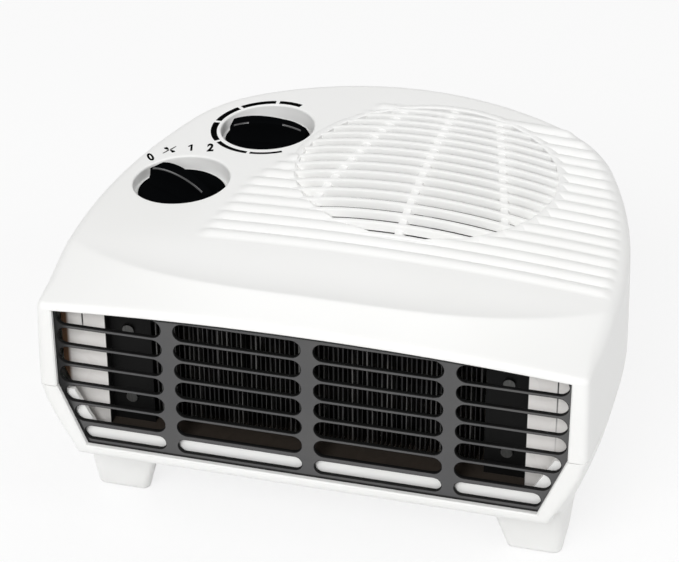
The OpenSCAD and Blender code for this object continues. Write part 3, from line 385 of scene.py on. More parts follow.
def half_at(y):
    """Half width of the outline at a depth."""
    if y < WIDEST_Y:
        return flank_c.x + math.sqrt(FLANK_R ** 2 - (y - WIDEST_Y) ** 2)
    if y < shoulder_c.y + SHOULDER_R * math.sin(shoulder_from):
        return side_c.x + math.sqrt(SIDE_R ** 2 - (y - WIDEST_Y) ** 2)
    if y < shoulder_c.y + SHOULDER_R * math.sin(shoulder_to):
        return shoulder_c.x + math.sqrt(SHOULDER_R ** 2 - (y - shoulder_c.y) ** 2)
    return math.sqrt(max(0.0, BACK_R ** 2 - (y - back_c.y) ** 2))


def ribs(x, y):
    """Rise of the moulded ribs: rounded bumps side by side, soft at their ends."""
    place = (y - FRONT - RIB_START) / RIB_PITCH + 0.5
    if place < 0 or place >= RIB_COUNT:
        return 0.0
    middle = FRONT + RIB_START + math.floor(place) * RIB_PITCH
    across = place - math.floor(place) - 0.5
    bump = (0.5 + 0.5 * math.cos(2 * math.pi * across)) ** 0.6
    left = rib_left(middle)
    right_end = half_at(middle) - EDGE_R + 1.5
    end = ease((x - left) / RIB_FADE) * ease((right_end - x) / RIB_FADE)
    return RIB_RISE * bump * end


def top(x, y):
    return plain_top(x, y) + ribs(x, y)


def edge_radius(y):
    return FRONT_EDGE_R + (EDGE_R - FRONT_EDGE_R) * ease((y - FRONT) / EDGE_CHANGE)


COLUMNS = 104


def skin(rows, surface, first_inset, bands):
    """A skin over the outline: a grid laid on surface(x, y), then bands swept out from its edge.

    rows are the outline's points and outward directions. Each band gives the place of an edge
    point from its outline point and direction."""
    form = bmesh.new()
    bmesh.ops.create_grid(form, x_segments=COLUMNS, y_segments=len(rows) - 1, size=1)
    place_x = form.verts.layers.float.new("outline_x")
    place_y = form.verts.layers.float.new("outline_y")
    out_x = form.verts.layers.float.new("out_x")
    out_y = form.verts.layers.float.new("out_y")
    for vert in form.verts:
        share = vert.co.x
        row = round((vert.co.y + 1) / 2 * (len(rows) - 1))
        point, out = rows[row]
        inner = first_inset(point, out)
        if row == 0:
            vert[place_x], vert[place_y] = point.x * share, point.y
            vert[out_x], vert[out_y] = 0.0, -1.0
        else:
            side = -1 if share < 0 else 1
            vert[place_x], vert[place_y] = point.x * side, point.y
            vert[out_x], vert[out_y] = out.x * side, out.y
        x, y = inner.x * share, inner.y
        vert.co = Vector((x, y, surface(x, y)))
    bmesh.ops.remove_doubles(form, verts=form.verts, dist=0.0005)
    edge = [e for e in form.edges if e.is_boundary]
    for band in bands:
        grown = bmesh.ops.extrude_edge_only(form, edges=edge)["geom"]
        for vert in (g for g in grown if isinstance(g, bmesh.types.BMVert)):
            point = Vector((vert[place_x], vert[place_y]))
            out = Vector((vert[out_x], vert[out_y]))
            vert.co = band(point, out)
        edge = [g for g in grown if isinstance(g, bmesh.types.BMEdge)]
    return form


def finished(name, form, *materials, sharp=35.0):
    """Turns a form in millimetres into an object in metres, smooth but for its sharp edges."""
    bmesh.ops.scale(form, vec=(MM, MM, MM), verts=form.verts)
    mesh = bpy.data.meshes.new(name)
    form.to_mesh(mesh)
    form.free()
    for face in mesh.polygons:
        face.use_smooth = True
    mesh.set_sharp_from_angle(angle=math.radians(sharp))
    return link(name, mesh, *materials)


def closed(form):
    """Faces outwards, on a form that is closed."""
    bmesh.ops.remove_doubles(form, verts=form.verts, dist=0.0002)
    bmesh.ops.recalc_face_normals(form, faces=form.faces)
    return form


def loft(loops, caps=True):
    """A form through loops of points, each joined to the next, with flat ends."""
    form = bmesh.new()
    bmesh.ops.create_circle(form, segments=len(loops[0]), radius=1)
    form.verts.ensure_lookup_table()
    for vert, point in zip(form.verts, loops[0]):
        vert.co = point
    order = list(form.verts)
    edges = list(form.edges)
    if caps:
        bmesh.ops.contextual_create(form, geom=edges)
    for loop in loops[1:]:
        grown = bmesh.ops.extrude_edge_only(form, edges=edges)["geom"]
        fresh = [g for g in grown if isinstance(g, bmesh.types.BMVert)]
        edges = [g for g in grown if isinstance(g, bmesh.types.BMEdge)]
        near = {}
        for vert in fresh:
            for e in vert.link_edges:
                other = e.other_vert(vert)
                if other not in fresh:
                    near[other] = vert
        order = [near[v] for v in order]
        for vert, point in zip(order, loop):
            vert.co = point
    if caps:
        bmesh.ops.contextual_create(form, geom=edges)
    bmesh.ops.recalc_face_normals(form, faces=form.faces)
    return form


def merged(form, *others):
    """Adds other forms to the first."""
    for other in others:
        mesh = bpy.data.meshes.new("part")
        other.to_mesh(mesh)
        other.free()
        form.from_mesh(mesh)
        bpy.data.meshes.remove(mesh)
    return form


def carved(form, operation, *cutters):
    """The form after a boolean with each cutter in turn."""
    body_mesh = bpy.data.meshes.new("body")
    form.to_mesh(body_mesh)
    form.free()
    body = link("body", body_mesh)
    tools = []
    for cutter in cutters:
        cut_mesh = bpy.data.meshes.new("cutter")
        cutter.to_mesh(cut_mesh)
        cutter.free()
        tool = link("cutter", cut_mesh)
        tools.append(tool)
        step = body.modifiers.new("cut", "BOOLEAN")
        step.operation = operation
        step.solver = "MANIFOLD"
        step.object = tool
    bpy.context.view_layer.update()
    whole = body.evaluated_get(bpy.context.evaluated_depsgraph_get())
    result = bmesh.new()
    result.from_mesh(whole.to_mesh())
    whole.to_mesh_clear()
    for used in [body] + tools:
        mesh = used.data
        bpy.data.objects.remove(used)
        bpy.data.meshes.remove(mesh)
    return result


# The upper shell: one white plastic moulding with the crowned top, the brow, the ribs and two round
# wells for the knobs, hollow inside and open towards the front. Screws in its posts hold it down.
OPENING_HALF = 115.2
OPENING_BASE = 103.0
OPENING_Z = 43.4
OPENING_TOP = 113.6
OPENING_CROWN = 4.4
WELL_R = 22.7
WELL_DEPTH = 7.5
LIP = 1.1


def lip_point(point, out, turn):
    radius = edge_radius(point.y)
    p = point - out * radius * (1 - math.cos(turn))
    return Vector((p.x, p.y, top(p.x, max(p.y, FRONT)) - radius * (1 - math.sin(turn))))


def wall_point(point, out, z):
    share = (BODY_HEIGHT - z) / (BODY_HEIGHT - SEAM_Z)
    grow = 1 + FLARE / HALF_WIDTH * share
    return Vector((point.x * grow, point.y * grow if point.y > 0 else point.y, z))


def turned_edge(turn):
    return lambda point, out: lip_point(point, out, math.radians(turn))


def wall_band(share):
    def place(point, out):
        start = lip_point(point, out, 0)
        z = start.z + (SEAM_Z - start.z) * share
        return wall_point(point, out, z)
    return place


def plain_edge(point, out):
    return point - out * edge_radius(point.y)


def walled(form, upward):
    """Gives a skin its thickness. Its faces look up on the upper shell and down on the lower one."""
    bmesh.ops.recalc_face_normals(form, faces=form.faces)
    facing = sum(f.normal.z * f.calc_area() for f in form.faces)
    if (facing > 0) != upward:
        bmesh.ops.reverse_faces(form, faces=form.faces)
    bmesh.ops.solidify(form, geom=form.faces, thickness=WALL)
    bmesh.ops.recalc_face_normals(form, faces=form.faces)


upper_form = skin(outline(1.0, 0.92, 2.4), top, plain_edge,
                  [turned_edge(t) for t in (75, 60, 45, 30, 15, 0)]
                  + [wall_band(s) for s in (0.3, 0.65, 1.0)])
walled(upper_form, True)


def round_loop(centre, radius, height, count=72):
    """A level or sloping ring: height is a number or a function of the point."""
    points = []
    for k in range(count):
        turn = 2 * math.pi * k / count
        x = centre.x + radius * math.cos(turn)
        y = centre.y + radius * math.sin(turn)
        points.append(Vector((x, y, height(x, y) if callable(height) else height)))
    return points


def well_cup(centre):
    floor_z = crown(centre.x) - WELL_DEPTH - 2
    return loft([round_loop(centre, WELL_R + 2.2, floor_z),
                 round_loop(centre, WELL_R + 2.2, lambda x, y: plain_top(x, y) - 1.2)])


def well_cutter(centre):
    """The hollow of a well: flat floor, small fillet, upright wall, rounded lip that follows the top."""
    base = crown(centre.x) - WELL_DEPTH
    loops = [round_loop(centre, WELL_R - 1.2, base), round_loop(centre, WELL_R - 0.4, base + 0.3),
             round_loop(centre, WELL_R, base + 1.1)]
    for turn in (0, 22, 45, 68, 90):
        a = math.radians(turn)
        reach = WELL_R + LIP * (1 - math.cos(a))
        drop = LIP * (1 - math.sin(a)) - 0.04
        loops.append(round_loop(centre, reach, lambda x, y, d=drop: plain_top(x, y) - d))
    loops.append(round_loop(centre, WELL_R + LIP, lambda x, y: plain_top(x, y) + 4))
    return loft(loops)


def spindle_cutter(centre):
    z = crown(centre.x) - WELL_DEPTH - 4
    return loft([round_loop(centre, 6.0, z, 32), round_loop(centre, 6.0, z + 8, 32)])


def opening_loop(side, low, high, y):
    """The front opening's outline, seen from the front."""
    reach = OPENING_HALF + side
    foot = OPENING_BASE + side
    points = [Vector((-reach, y, SEAM_Z)), Vector((-foot, y, OPENING_Z - low)),
              Vector((foot, y, OPENING_Z - low)), Vector((reach, y, SEAM_Z))]
    for k in range(25):
        x = reach * (1 - 2 * k / 24)
        points.append(Vector((x, y, OPENING_TOP + high + OPENING_CROWN * (1 - (x / OPENING_HALF) ** 2))))
    return points


def opening_cutter():
    return loft([opening_loop(1.2, 1.2, 1.2, FRONT - 0.6), opening_loop(0.0, 0.0, 0.0, FRONT + 0.6),
                 opening_loop(0.0, 0.0, 0.0, FRONT + WALL + 1.5)])


inlet_cutter = loft([round_loop(GRID, GRID_R - 1.0, BODY_HEIGHT - 20, 96),
                     round_loop(GRID, GRID_R - 1.0, BODY_HEIGHT + 20, 96)])
upper_form = carved(upper_form, "UNION", well_cup(SWITCH), well_cup(THERMOSTAT))
upper_form = carved(upper_form, "DIFFERENCE", well_cutter(SWITCH), well_cutter(THERMOSTAT),
                    spindle_cutter(SWITCH), spindle_cutter(THERMOSTAT), inlet_cutter, opening_cutter())


# The air inlet is part of the same moulding: a raised rim round the hole, upright slats under a shallow
# dome, and three spokes that cross them a little lower.
SLAT_PITCH = 7.75
SLAT_W = 2.85
SLAT_T = 3.7
SLAT_COUNT = 16
FIRST_SLAT = GRID.y - 61.4
SPOKE_W = 4.0
SPOKE_OFF = 35.0
SPOKE_LEAN = math.radians(13)
SPOKE_LOW = 1.5
RIM_PROFILE = ((-7.5, -8.6), (-7.2, -4.2), (-4.4, -1.9), (-3.2, -1.3), (-2.1, -1.0),
               (-2.0, 0.6), (-1.7, 0.95), (-1.1, 1.15), (-0.2, 1.15), (0.8, 0.95),
               (1.8, 0.55), (3.0, 0.1), (3.8, -0.5), (0.2, -2.2))
LEDGE_FROM = -7.3
LEDGE_TO = -2.05
LEDGE_DIP = 2.4


def dome(x, y):
    away = (Vector((x, y)) - GRID).length / GRID_R
    return crown(x) + 0.8 + INLET_DOME * (1 - away ** 2)


def slat(start, end, across, width, low, stations=20):
    """A bar with rounded top edges that follows the dome from start to end."""
    profile = [(-0.62, -SLAT_T), (0.62, -SLAT_T), (0.5, -0.8), (0.4, -0.22), (0.2, 0.0),
               (-0.2, 0.0), (-0.4, -0.22), (-0.5, -0.8)]
    loops = []
    for k in range(stations + 1):
        p = start.lerp(end, k / stations)
        sunk = 0.7 * (1 - bead(p.x, p.y)) * (2 * k / stations - 1) ** 6
        z = dome(p.x, p.y) - low - sunk
        loops.append([Vector((p.x + across.x * width * u, p.y + across.y * width * u, z + v))
                      for u, v in profile])
    return loft(loops)


def bead(x, y):
    """How much of its full height the bead has: all on the right, least at the front left."""
    away = Vector((x, y)) - GRID
    return 0.35 + 0.65 * ease(0.5 + 0.8 * (0.94 * away.x + 0.34 * away.y) / max(away.length, 1.0))


def rim():
    """The bead round the inlet: a soft crest, an upright inner side, and under the gaps' ends a ledge that
    lies deeper along the far side."""
    loops = []
    for reach, rise in RIM_PROFILE:
        loop = round_loop(GRID, GRID_R, 0.0, 120)
        for point in loop:
            tall = bead(point.x, point.y)
            spread = reach * (0.4 + 0.6 * tall if reach > 0 else 1.0)
            out = (Vector((point.x, point.y)) - GRID) * (spread / GRID_R)
            point.x += out.x
            point.y += out.y
            dip = LEDGE_DIP * ease(-out.y / 2.0) if LEDGE_FROM < reach < LEDGE_TO else 0.0
            point.z = crown(point.x) + rise * (tall if rise > 0 else 1.0) - dip
        loops.append(loop)
    form = loft(loops + [loops[0]], caps=False)
    return closed(form)


inlet_parts = [rim()]
for k in range(SLAT_COUNT):
    y = FIRST_SLAT + k * SLAT_PITCH
    reach = math.sqrt((GRID_R - 0.4) ** 2 - max(0.0, abs(y - GRID.y) - SLAT_W / 2) ** 2)
    start = Vector((GRID.x - reach, y))
    end = Vector((GRID.x + reach, y))
    inlet_parts.append(slat(start, end, Vector((0, 1)), SLAT_W, 0.0))
for side in (-1, 0, 1):
    lean = side * SPOKE_LEAN
    across = Vector((math.cos(lean), math.sin(lean)))
    along = Vector((-across.y, across.x))
    middle = GRID + across * side * SPOKE_OFF
    reach = math.sqrt((GRID_R - 1.5) ** 2 - (side * SPOKE_OFF) ** 2)
    inlet_parts.append(slat(middle - along * reach, middle + along * reach, across, SPOKE_W, SPOKE_LOW))
upper_form = merged(upper_form, *inlet_parts)

# White plastic as it leaves a polished mould with a fine spark texture: satin, with a faint unevenness
# in colour and sheen.
WHITE = (0.87, 0.87, 0.86)
WHITE_DEEP = (0.845, 0.845, 0.83)
white = Finish("moulded_white", roughness=0.38, specular=0.4, colour=WHITE)
cloud = white.noise(9.0, 2.0)
white.feed("Base Color", white.blend(cloud.smooth_step(0.3, 0.7), WHITE, WHITE_DEEP))
white.feed("Roughness", 0.34 + white.noise(60.0, 2.0) * 0.1)
white.bump(white.noise(1800.0, 2.0), 0.00002, 0.5)
upper_shell = finished("upper_shell_moulding", upper_form, white.material)
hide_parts("upper_shell")
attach(upper_shell, "housing")


# The lower shell: the same white plastic, meeting the upper one at a fine seam. Its walls lean in to a
# rounded belly, and four tapered feet, screw posts, rails and a guide wall are moulded on.
BELLY_Z = 22.0
LIP_Z = 37.2
SIDE_LEAN = 14.5
LIP_DEPTH = 8.0
SLOPE_END = 34.0
BASE_R = 4.4
NEAR_INSET = 3.0
SEAM_GAP = 0.35
FRONT_TAPER = 0.113
BACK_TAPER = SIDE_LEAN / (HALF_WIDTH + FLARE)


def belly(y):
    return BELLY_Z + (LIP_Z - BELLY_Z) * (1 - ease((y - FRONT - LIP_DEPTH) / (SLOPE_END - LIP_DEPTH)))


def leaning(p, t):
    """A point of the flared outline after the wall has leaned in by the share t."""
    grow = 1 + FLARE / HALF_WIDTH
    x = p.x * grow
    y = p.y * grow if p.y > 0 else p.y
    taper = FRONT_TAPER + (BACK_TAPER - FRONT_TAPER) * ease((y - FRONT) / 54)
    return Vector((x * (1 - taper * t ** 1.35), FRONT + (y - FRONT) * (1 - SIDE_LEAN / DEPTH * 0.6 * t)))


def drawn_in(point, out, distance):
    """The outline moved inwards; past the corners' radius it shrinks towards the middle."""
    p = point - out * min(distance, NEAR_INSET)
    far = max(0.0, distance - NEAR_INSET)
    return Vector((p.x * (1 - far / HALF_WIDTH), p.y * (1 - far * 2 / DEPTH)))


def base_edge(turn):
    def place(point, out):
        q = leaning(drawn_in(point, out, BASE_R * (1 - math.cos(math.radians(turn)))), 1)
        return Vector((q.x, q.y, belly(q.y) + BASE_R * (1 - math.sin(math.radians(turn)))))
    return place


def lower_wall(share):
    def place(point, out):
        foot = base_edge(0)(point, out)
        q = leaning(point, 1 - share)
        return Vector((q.x, q.y, foot.z + (SEAM_Z - SEAM_GAP - foot.z) * share))
    return place


def belly_edge(point, out):
    return leaning(drawn_in(point, out, BASE_R), 1)


lower_form = skin(outline(2.0, 4.0, 4.0), lambda x, y: belly(y), belly_edge,
                  [base_edge(t) for t in (72, 54, 36, 18, 0)]
                  + [lower_wall(s) for s in (0.25, 0.5, 0.75, 1.0)])
walled(lower_form, False)
lower_form = carved(lower_form, "DIFFERENCE", opening_cutter())

FOOT_W = 27.0
FOOT_L = 26.0
foot_outer = HALF_WIDTH + FLARE - SIDE_LEAN - 1.5
front_foot = Vector((foot_outer - FOOT_W / 2 - 1, FRONT + 29 + FOOT_L / 2))
back_foot = Vector((front_foot.x - 24, FRONT + 168))
# A foot's rings from its root down: height, how far the inner side stands in, how much further at the back,
# how far the outer side stands out, how much further at the back, the ends' inset and the corners' radius.
FOOT_RINGS = ((31.0, -4.6, 9.0, 0.6, 2.6, -0.4, 4.0), (22.0, -3.0, 7.2, 0.6, 2.0, -0.4, 4.0),
              (15.0, -1.8, 5.8, 0.6, 0.8, -0.3, 4.0), (3.0, 0.9, 4.3, 0.0, 0.0, -0.2, 4.0),
              (0.9, 1.3, 4.3, -0.2, 0.0, 0.1, 4.0), (0.4, 1.9, 4.3, -0.7, 0.0, 0.7, 3.6))


def rounded_loop(x0, x1, y0, y1, radius, z, steps=6):
    points = []
    for cx, cy, start in ((x1 - radius, y1 - radius, 0), (x0 + radius, y1 - radius, 90),
                          (x0 + radius, y0 + radius, 180), (x1 - radius, y0 + radius, 270)):
        for k in range(steps + 1):
            a = math.radians(start + 90 * k / steps)
            points.append(Vector((cx + radius * math.cos(a), cy + radius * math.sin(a), z)))
    return points


def foot(centre, side, flush, lead):
    """A tapered foot with rounded corners. Its front comes forward by lead for each millimetre of height,
    and the outer side of a flush foot carries on the leaning wall."""
    half_w, half_l = FOOT_W / 2, FOOT_L / 2
    loops = []
    for z, inner, skew, outer, spread, ends, radius in FOOT_RINGS:
        low_x = centre.x - half_w + inner
        high_x = centre.x + half_w + outer
        front_y = centre.y - half_l + ends - lead * z
        back_y = centre.y + half_l - ends
        loop = rounded_loop(low_x, high_x, front_y, back_y, radius, z)
        for point in loop:
            away = (point.y - centre.y + half_l) / FOOT_L
            inward = (high_x - point.x) / (high_x - low_x)
            widening = spread * (1 - inward) if flush else 0.0
            point.x = side * (point.x + away * (skew * inward + widening))
        loops.append(loop)
    return loft(loops)


def post(x, y, radius, z0, z1):
    return loft([round_loop(Vector((x, y)), radius, z0, 20), round_loop(Vector((x, y)), radius, z1, 20)])


def block(x0, x1, away0, away1, radius, z0, z1):
    """An upright block; its depths are counted from the front."""
    return loft([rounded_loop(x0, x1, FRONT + away0, FRONT + away1, radius, z) for z in (z0, z1)])


GUIDE_TOP = 51.4
ROOT_Z = BELLY_Z + 1
CASE_POSTS = ((104, 61.3), (-104, 61.3), (91, 150), (-91, 150))
SCROLL_POSTS = (35, 145, 215)
SCROLL_POST_R = 71
RAIL_X = 60
lower_parts = [foot(front_foot, side, True, 0.25) for side in (-1, 1)]
lower_parts += [foot(back_foot, side, False, 0.1) for side in (-1, 1)]
for x, away in CASE_POSTS:
    lower_parts.append(post(x, FRONT + away, 5.6, ROOT_Z, SEAM_Z - 0.1))
for turn in SCROLL_POSTS:
    a = math.radians(turn)
    lower_parts.append(post(INLET.x + SCROLL_POST_R * math.cos(a), INLET.y + SCROLL_POST_R * math.sin(a),
                            4.0, ROOT_Z, 80))
lower_parts.append(post(90.5, FRONT + 90, 4.0, ROOT_Z, 80))
for side in (-1, 1):
    lower_parts.append(post(INLET.x + side * 42, INLET.y, 5.0, ROOT_Z, 40))
    lower_parts.append(block(side * RAIL_X - 2, side * RAIL_X + 2, 14.5, 48, 0.5, BELLY_Z + 8, 48.0))
lower_parts.append(block(-78, -46, 164, 180, 1, ROOT_Z, 44))
guide = [(-102, LIP_Z + 1.5), (102, LIP_Z + 1.5), (115, SEAM_Z - 4), (109, SEAM_Z - 4), (99, GUIDE_TOP),
         (-99, GUIDE_TOP), (-109, SEAM_Z - 4), (-115, SEAM_Z - 4)]
lower_parts.append(loft([[Vector((x, FRONT + away, z)) for x, z in guide] for away in (5.2, 7.2)]))
lower_form = merged(lower_form, *lower_parts)
lower_shell = finished("lower_shell_moulding", lower_form, white.material)
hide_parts("lower_shell")
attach(lower_shell, "housing")


# The outlet grille: one flat plastic plate behind the opening, with seven rows of round-ended slots
# between three posts. Its face is satin grey. The slots' walls are black plastic, and their black also
# stands in for the shade inside the slots. Thin black lines along the plate's top, foot and left edge, where
# it goes behind the shell, are painted shadow.
GRILLE_Y = FRONT + 2.6
GRILLE_T = 2.0
PLATE_LAP = 1.8
ROWS = 7
SLOT_PITCH = 10.1
SLOT_H = 8.4
LAST_H = 6.8
POST_PITCH = 63.0
POST_W = 5.8
SLOT_MARGIN = 1.2
FIRST_ROW = OPENING_TOP - 3.6
GRILLE_ROUND = 0.35


def slot_loop(x0, x1, z, h):
    """A round-ended slot in the plate's own plane."""
    points = []
    for cx, start in ((x1 - h / 2, -90), (x0 + h / 2, 90)):
        for k in range(13):
            a = math.radians(start + 180 * k / 12)
            points.append((cx + h / 2 * math.cos(a), z + h / 2 * math.sin(a)))
    return points


slots = []
for row in range(ROWS):
    z = FIRST_ROW - row * SLOT_PITCH
    narrow = 0.0 if z > SEAM_Z else (SEAM_Z - z) * (OPENING_HALF - OPENING_BASE) / (SEAM_Z - OPENING_Z)
    reach = OPENING_HALF - SLOT_MARGIN - narrow
    h = LAST_H if row == ROWS - 1 else SLOT_H
    for x0, x1 in ((-reach, -POST_PITCH - POST_W / 2), (-POST_PITCH + POST_W / 2, -POST_W / 2),
                   (POST_W / 2, POST_PITCH - POST_W / 2), (POST_PITCH + POST_W / 2, reach)):
        slots.append(slot_loop(x0, x1, z, h))
plate = [(p.x, p.z) for p in opening_loop(PLATE_LAP, PLATE_LAP, 2.2, 0.0)]
drawing = bpy.data.curves.new("grille", "CURVE")
drawing.dimensions = "2D"
drawing.fill_mode = "BOTH"
for loop in [plate] + slots:
    line = drawing.splines.new("POLY")
    line.points.add(len(loop) - 1)
    for point, (x, z) in zip(line.points, loop):
        point.co = (x * MM, z * MM, 0, 1)
    line.use_cyclic_u = True
drawing.extrude = (GRILLE_T / 2 - GRILLE_ROUND) * MM
drawing.bevel_depth = GRILLE_ROUND * MM
drawing.bevel_resolution = 2
drawing.offset = -GRILLE_ROUND * MM
sketch = bpy.data.objects.new("grille_sketch", drawing)
bpy.context.scene.collection.objects.link(sketch)
bpy.context.view_layer.update()
grille_mesh = bpy.data.meshes.new_from_object(sketch.evaluated_get(bpy.context.evaluated_depsgraph_get()))
bpy.data.objects.remove(sketch)
plate_seat = Matrix.Translation((0, (GRILLE_Y + GRILLE_T / 2) * MM, 0))
grille_mesh.transform(plate_seat @ Matrix.Rotation(math.pi / 2, 4, "X"))

# Black for the painted shadow lines on the plate's face and for the slot walls.
PAINTED_SHADE_BLACK = (0.004, 0.004, 0.004)
GREY = (0.076, 0.076, 0.078)
grille_face = Finish("satin_grey_painted_shadow", roughness=0.42, specular=0.3, colour=GREY)
cloudy = grille_face.blend(grille_face.noise(25.0, 3.0).smooth_step(0.3, 0.75), GREY, (0.088, 0.087, 0.086))
across = grille_face.axis("X")
leftward = across * -1.0
height = grille_face.axis("Z")
crown_line = (OPENING_TOP + OPENING_CROWN) * MM - across * across * (OPENING_CROWN / OPENING_HALF ** 2 / MM)
lean = (OPENING_HALF - OPENING_BASE) / (SEAM_Z - OPENING_Z)
lean_at_floor = OPENING_HALF - SEAM_Z * lean
# The painted shadow lines' edges, at places in metres.
painted_shadow_top = (height - crown_line).smooth_step(-0.0024, -0.0019)
painted_shadow_foot = height.smooth_step((OPENING_Z + 1.3) * MM, (OPENING_Z + 0.8) * MM)
painted_shadow_lean = (leftward - height * lean).smooth_step((lean_at_floor - 1.6) * MM, (lean_at_floor - 1.1) * MM)
painted_shadow_side = leftward.smooth_step(0.1070, 0.1120)
face_colour = cloudy
# Painted shadow: thin black lines blended into the face colour at the plate's top, foot, leaning side and
# left edge.
for near in (painted_shadow_top, painted_shadow_foot, painted_shadow_lean, painted_shadow_side):
    face_colour = grille_face.blend(near, face_colour, PAINTED_SHADE_BLACK)
grille_face.feed("Base Color", face_colour)
grille_face.feed("Roughness", 0.36 + grille_face.noise(140.0, 2.0) * 0.16)
grille_face.bump(grille_face.noise(2500.0, 1.0), 0.00001, 0.4)
# The slot walls are black plastic, and this black also stands in for the shade inside the slots.
grille_wall = Finish("slot_black_painted_shade", roughness=0.6, specular=0.08, colour=(0.006, 0.006, 0.006))
grille_wall.feed("Base Color", grille_wall.blend(grille_wall.noise(90.0), PAINTED_SHADE_BLACK, (0.009, 0.009, 0.009)))
weld = bmesh.new()
weld.from_mesh(grille_mesh)
closed(weld)
weld.to_mesh(grille_mesh)
weld.free()
grille_mesh.materials.clear()
grille = link("outlet_grille_plate", grille_mesh, grille_face.material, grille_wall.material)
for face in grille_mesh.polygons:
    face.material_index = 0 if abs(face.normal.y) > 0.9 else 1
    face.use_smooth = False
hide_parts("outlet_grille")
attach(grille, "housing")


# The knobs: polished black plastic, each a low disc with an arched grip across it that is blunt at both
# ends and widens to the nose. They push onto the tips of their spindles, inside the wells.
KNOB_R = WELL_R - 2.0
KNOB_DISC = 1.2
KNOB_LIFT = 0.5
KNOB_TOP = WELL_DEPTH + 4.0 - KNOB_LIFT
KNOB_ARCH = 4.1
GRIP_L = 37.0
GRIP_TAIL = 19.05
GRIP_NOSE_W = 8.6
GRIP_TAIL_W = 4.5
GRIP_FLARE = 2.4
GRIP_ROUND = 0.6
CREST_BAND = 0.55
CREST_END = 2.5
SWITCH_TURN = math.radians(149)
THERMOSTAT_TURN = math.radians(183)


def crest_height(x):
    return KNOB_TOP - KNOB_ARCH * abs(x / GRIP_TAIL) ** 2.2


def crest_half(x):
    """Half the width of the grip's top at a distance from the knob's middle."""
    along = (x + GRIP_TAIL) / GRIP_L
    return (GRIP_TAIL_W + (GRIP_NOSE_W - GRIP_TAIL_W) * along) / 2


def grip_section(x, shrink):
    """A cross-section of the grip at a distance from the knob's middle, drawn in by shrink at the ends."""
    half_top = crest_half(x) - shrink
    chord = math.sqrt(KNOB_R ** 2 - x ** 2) - 0.3
    half_foot = min(half_top + GRIP_FLARE, chord)
    height = crest_height(x) - shrink
    foot_z = KNOB_DISC - 0.6
    points = []
    for side in (1, -1):
        half = []
        for k in range(9):
            t = k / 8
            width = half_foot + (half_top - half_foot) * (1 - (1 - t) ** 2.6)
            half.append((side * width, foot_z + (height - GRIP_ROUND - foot_z) * t))
        for k in (1, 2, 3):
            a = math.radians(30 * k)
            width = half_top - GRIP_ROUND * (1 - math.cos(a))
            half.append((side * width, height - GRIP_ROUND * (1 - math.sin(a))))
        points += half if side > 0 else half[::-1]
    return [Vector((x, u, z)) for u, z in points]


def knob_form():
    disc = [(0.98, 0.0), (1.0, 0.25), (1.0, KNOB_DISC - 0.75), (0.985, KNOB_DISC - 0.5),
            (0.95, KNOB_DISC - 0.35), (0.8, KNOB_DISC - 0.12), (0.5, KNOB_DISC)]
    centre = Vector((0.0, 0.0))
    body = loft([round_loop(centre, KNOB_R * share, z, 120) for share, z in disc])
    nose = GRIP_L - GRIP_TAIL
    stations = [(-GRIP_TAIL, 0.6), (-GRIP_TAIL + 0.08, 0.32), (-GRIP_TAIL + 0.3, 0.1)]
    stations += [(-GRIP_TAIL + 0.65, 0.0)]
    stations += [(-GRIP_TAIL + 0.65 + (GRIP_L - 1.3) * k / 24, 0.0) for k in range(1, 25)]
    stations += [(nose - 0.3, 0.1), (nose - 0.08, 0.32), (nose, 0.6)]
    return merged(body, loft([grip_section(x, shrink) for x, shrink in stations]))


BLACK = (0.0020, 0.0023, 0.0026)
gloss = Finish("polished_black", roughness=0.3, specular=0.0, colour=BLACK)
gloss.feed("Base Color", gloss.blend(gloss.noise(40.0, 2.0), BLACK, (0.0030, 0.0034, 0.0038)))
gloss.feed("Roughness", 0.18 + gloss.noise(120.0, 3.0) * 0.1)
gloss.bump(gloss.noise(900.0, 2.0), 0.000004, 0.3)
crest = Finish("polished_crest", roughness=0.1, specular=1.0, colour=BLACK)
crest.feed("Roughness", 0.08 + crest.noise(120.0, 3.0) * 0.08)
KNOBS = (("switch_knob", "heat_switch", SWITCH, SWITCH_TURN, 0.0),
         ("thermostat_knob", "thermostat_dial", THERMOSTAT, THERMOSTAT_TURN, 8.0))
for name, body, centre, turn, dull in KNOBS:
    form = knob_form()
    for face in form.faces:
        middle = face.calc_center_median()
        on_top_edge = middle.z > crest_height(middle.x) - CREST_BAND
        if dull < abs(middle.x) < GRIP_TAIL - CREST_END and on_top_edge:
            face.material_index = 1 if middle.y > crest_half(middle.x) - GRIP_ROUND else 0
    base = crown(centre.x) - WELL_DEPTH + KNOB_LIFT
    knob_seat = Matrix.Translation((centre.x, centre.y, base)) @ Matrix.Rotation(turn, 4, "Z")
    bmesh.ops.transform(form, matrix=knob_seat, verts=form.verts)
    knob = finished(name + "_moulding", form, gloss.material, crest.material, sharp=42)
    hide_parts(name)
    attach(knob, body)


# The printed scales: black ink on the top, pad printed after moulding. A ring of six dashes that grow
# thicker runs round the thermostat, and 0, a fan sign, 1 and 2 stand round the heat switch.
INK_LIFT = 0.05
DASHES = ((-59, -93, 1.7, 1.8), (-96.5, -138, 2.0, 2.3), (-142, -183.5, 2.7, 3.2),
          (-187.5, -221.5, 3.0, 3.1), (-225.5, -263, 3.0, 3.0), (-267, -292.5, 2.9, 2.9))
DASH_R = 26.2
DASH_C = THERMOSTAT + Vector((0.3, -0.9))


def on_top(x, y):
    return Vector((x, y, plain_top(x, y) + INK_LIFT))


ink_form = bmesh.new()
for start, end, width0, width1 in DASHES:
    strip = bmesh.new()
    bmesh.ops.create_grid(strip, x_segments=16, y_segments=1, size=1)
    for vert in strip.verts:
        share = (vert.co.x + 1) / 2
        turn = math.radians(start + (end - start) * share)
        radius = DASH_R + vert.co.y * (width0 + (width1 - width0) * share) / 2
        vert.co = on_top(DASH_C.x + radius * math.cos(turn), DASH_C.y + radius * math.sin(turn))
    bmesh.ops.recalc_face_normals(strip, faces=strip.faces)
    ink_form = merged(ink_form, strip)


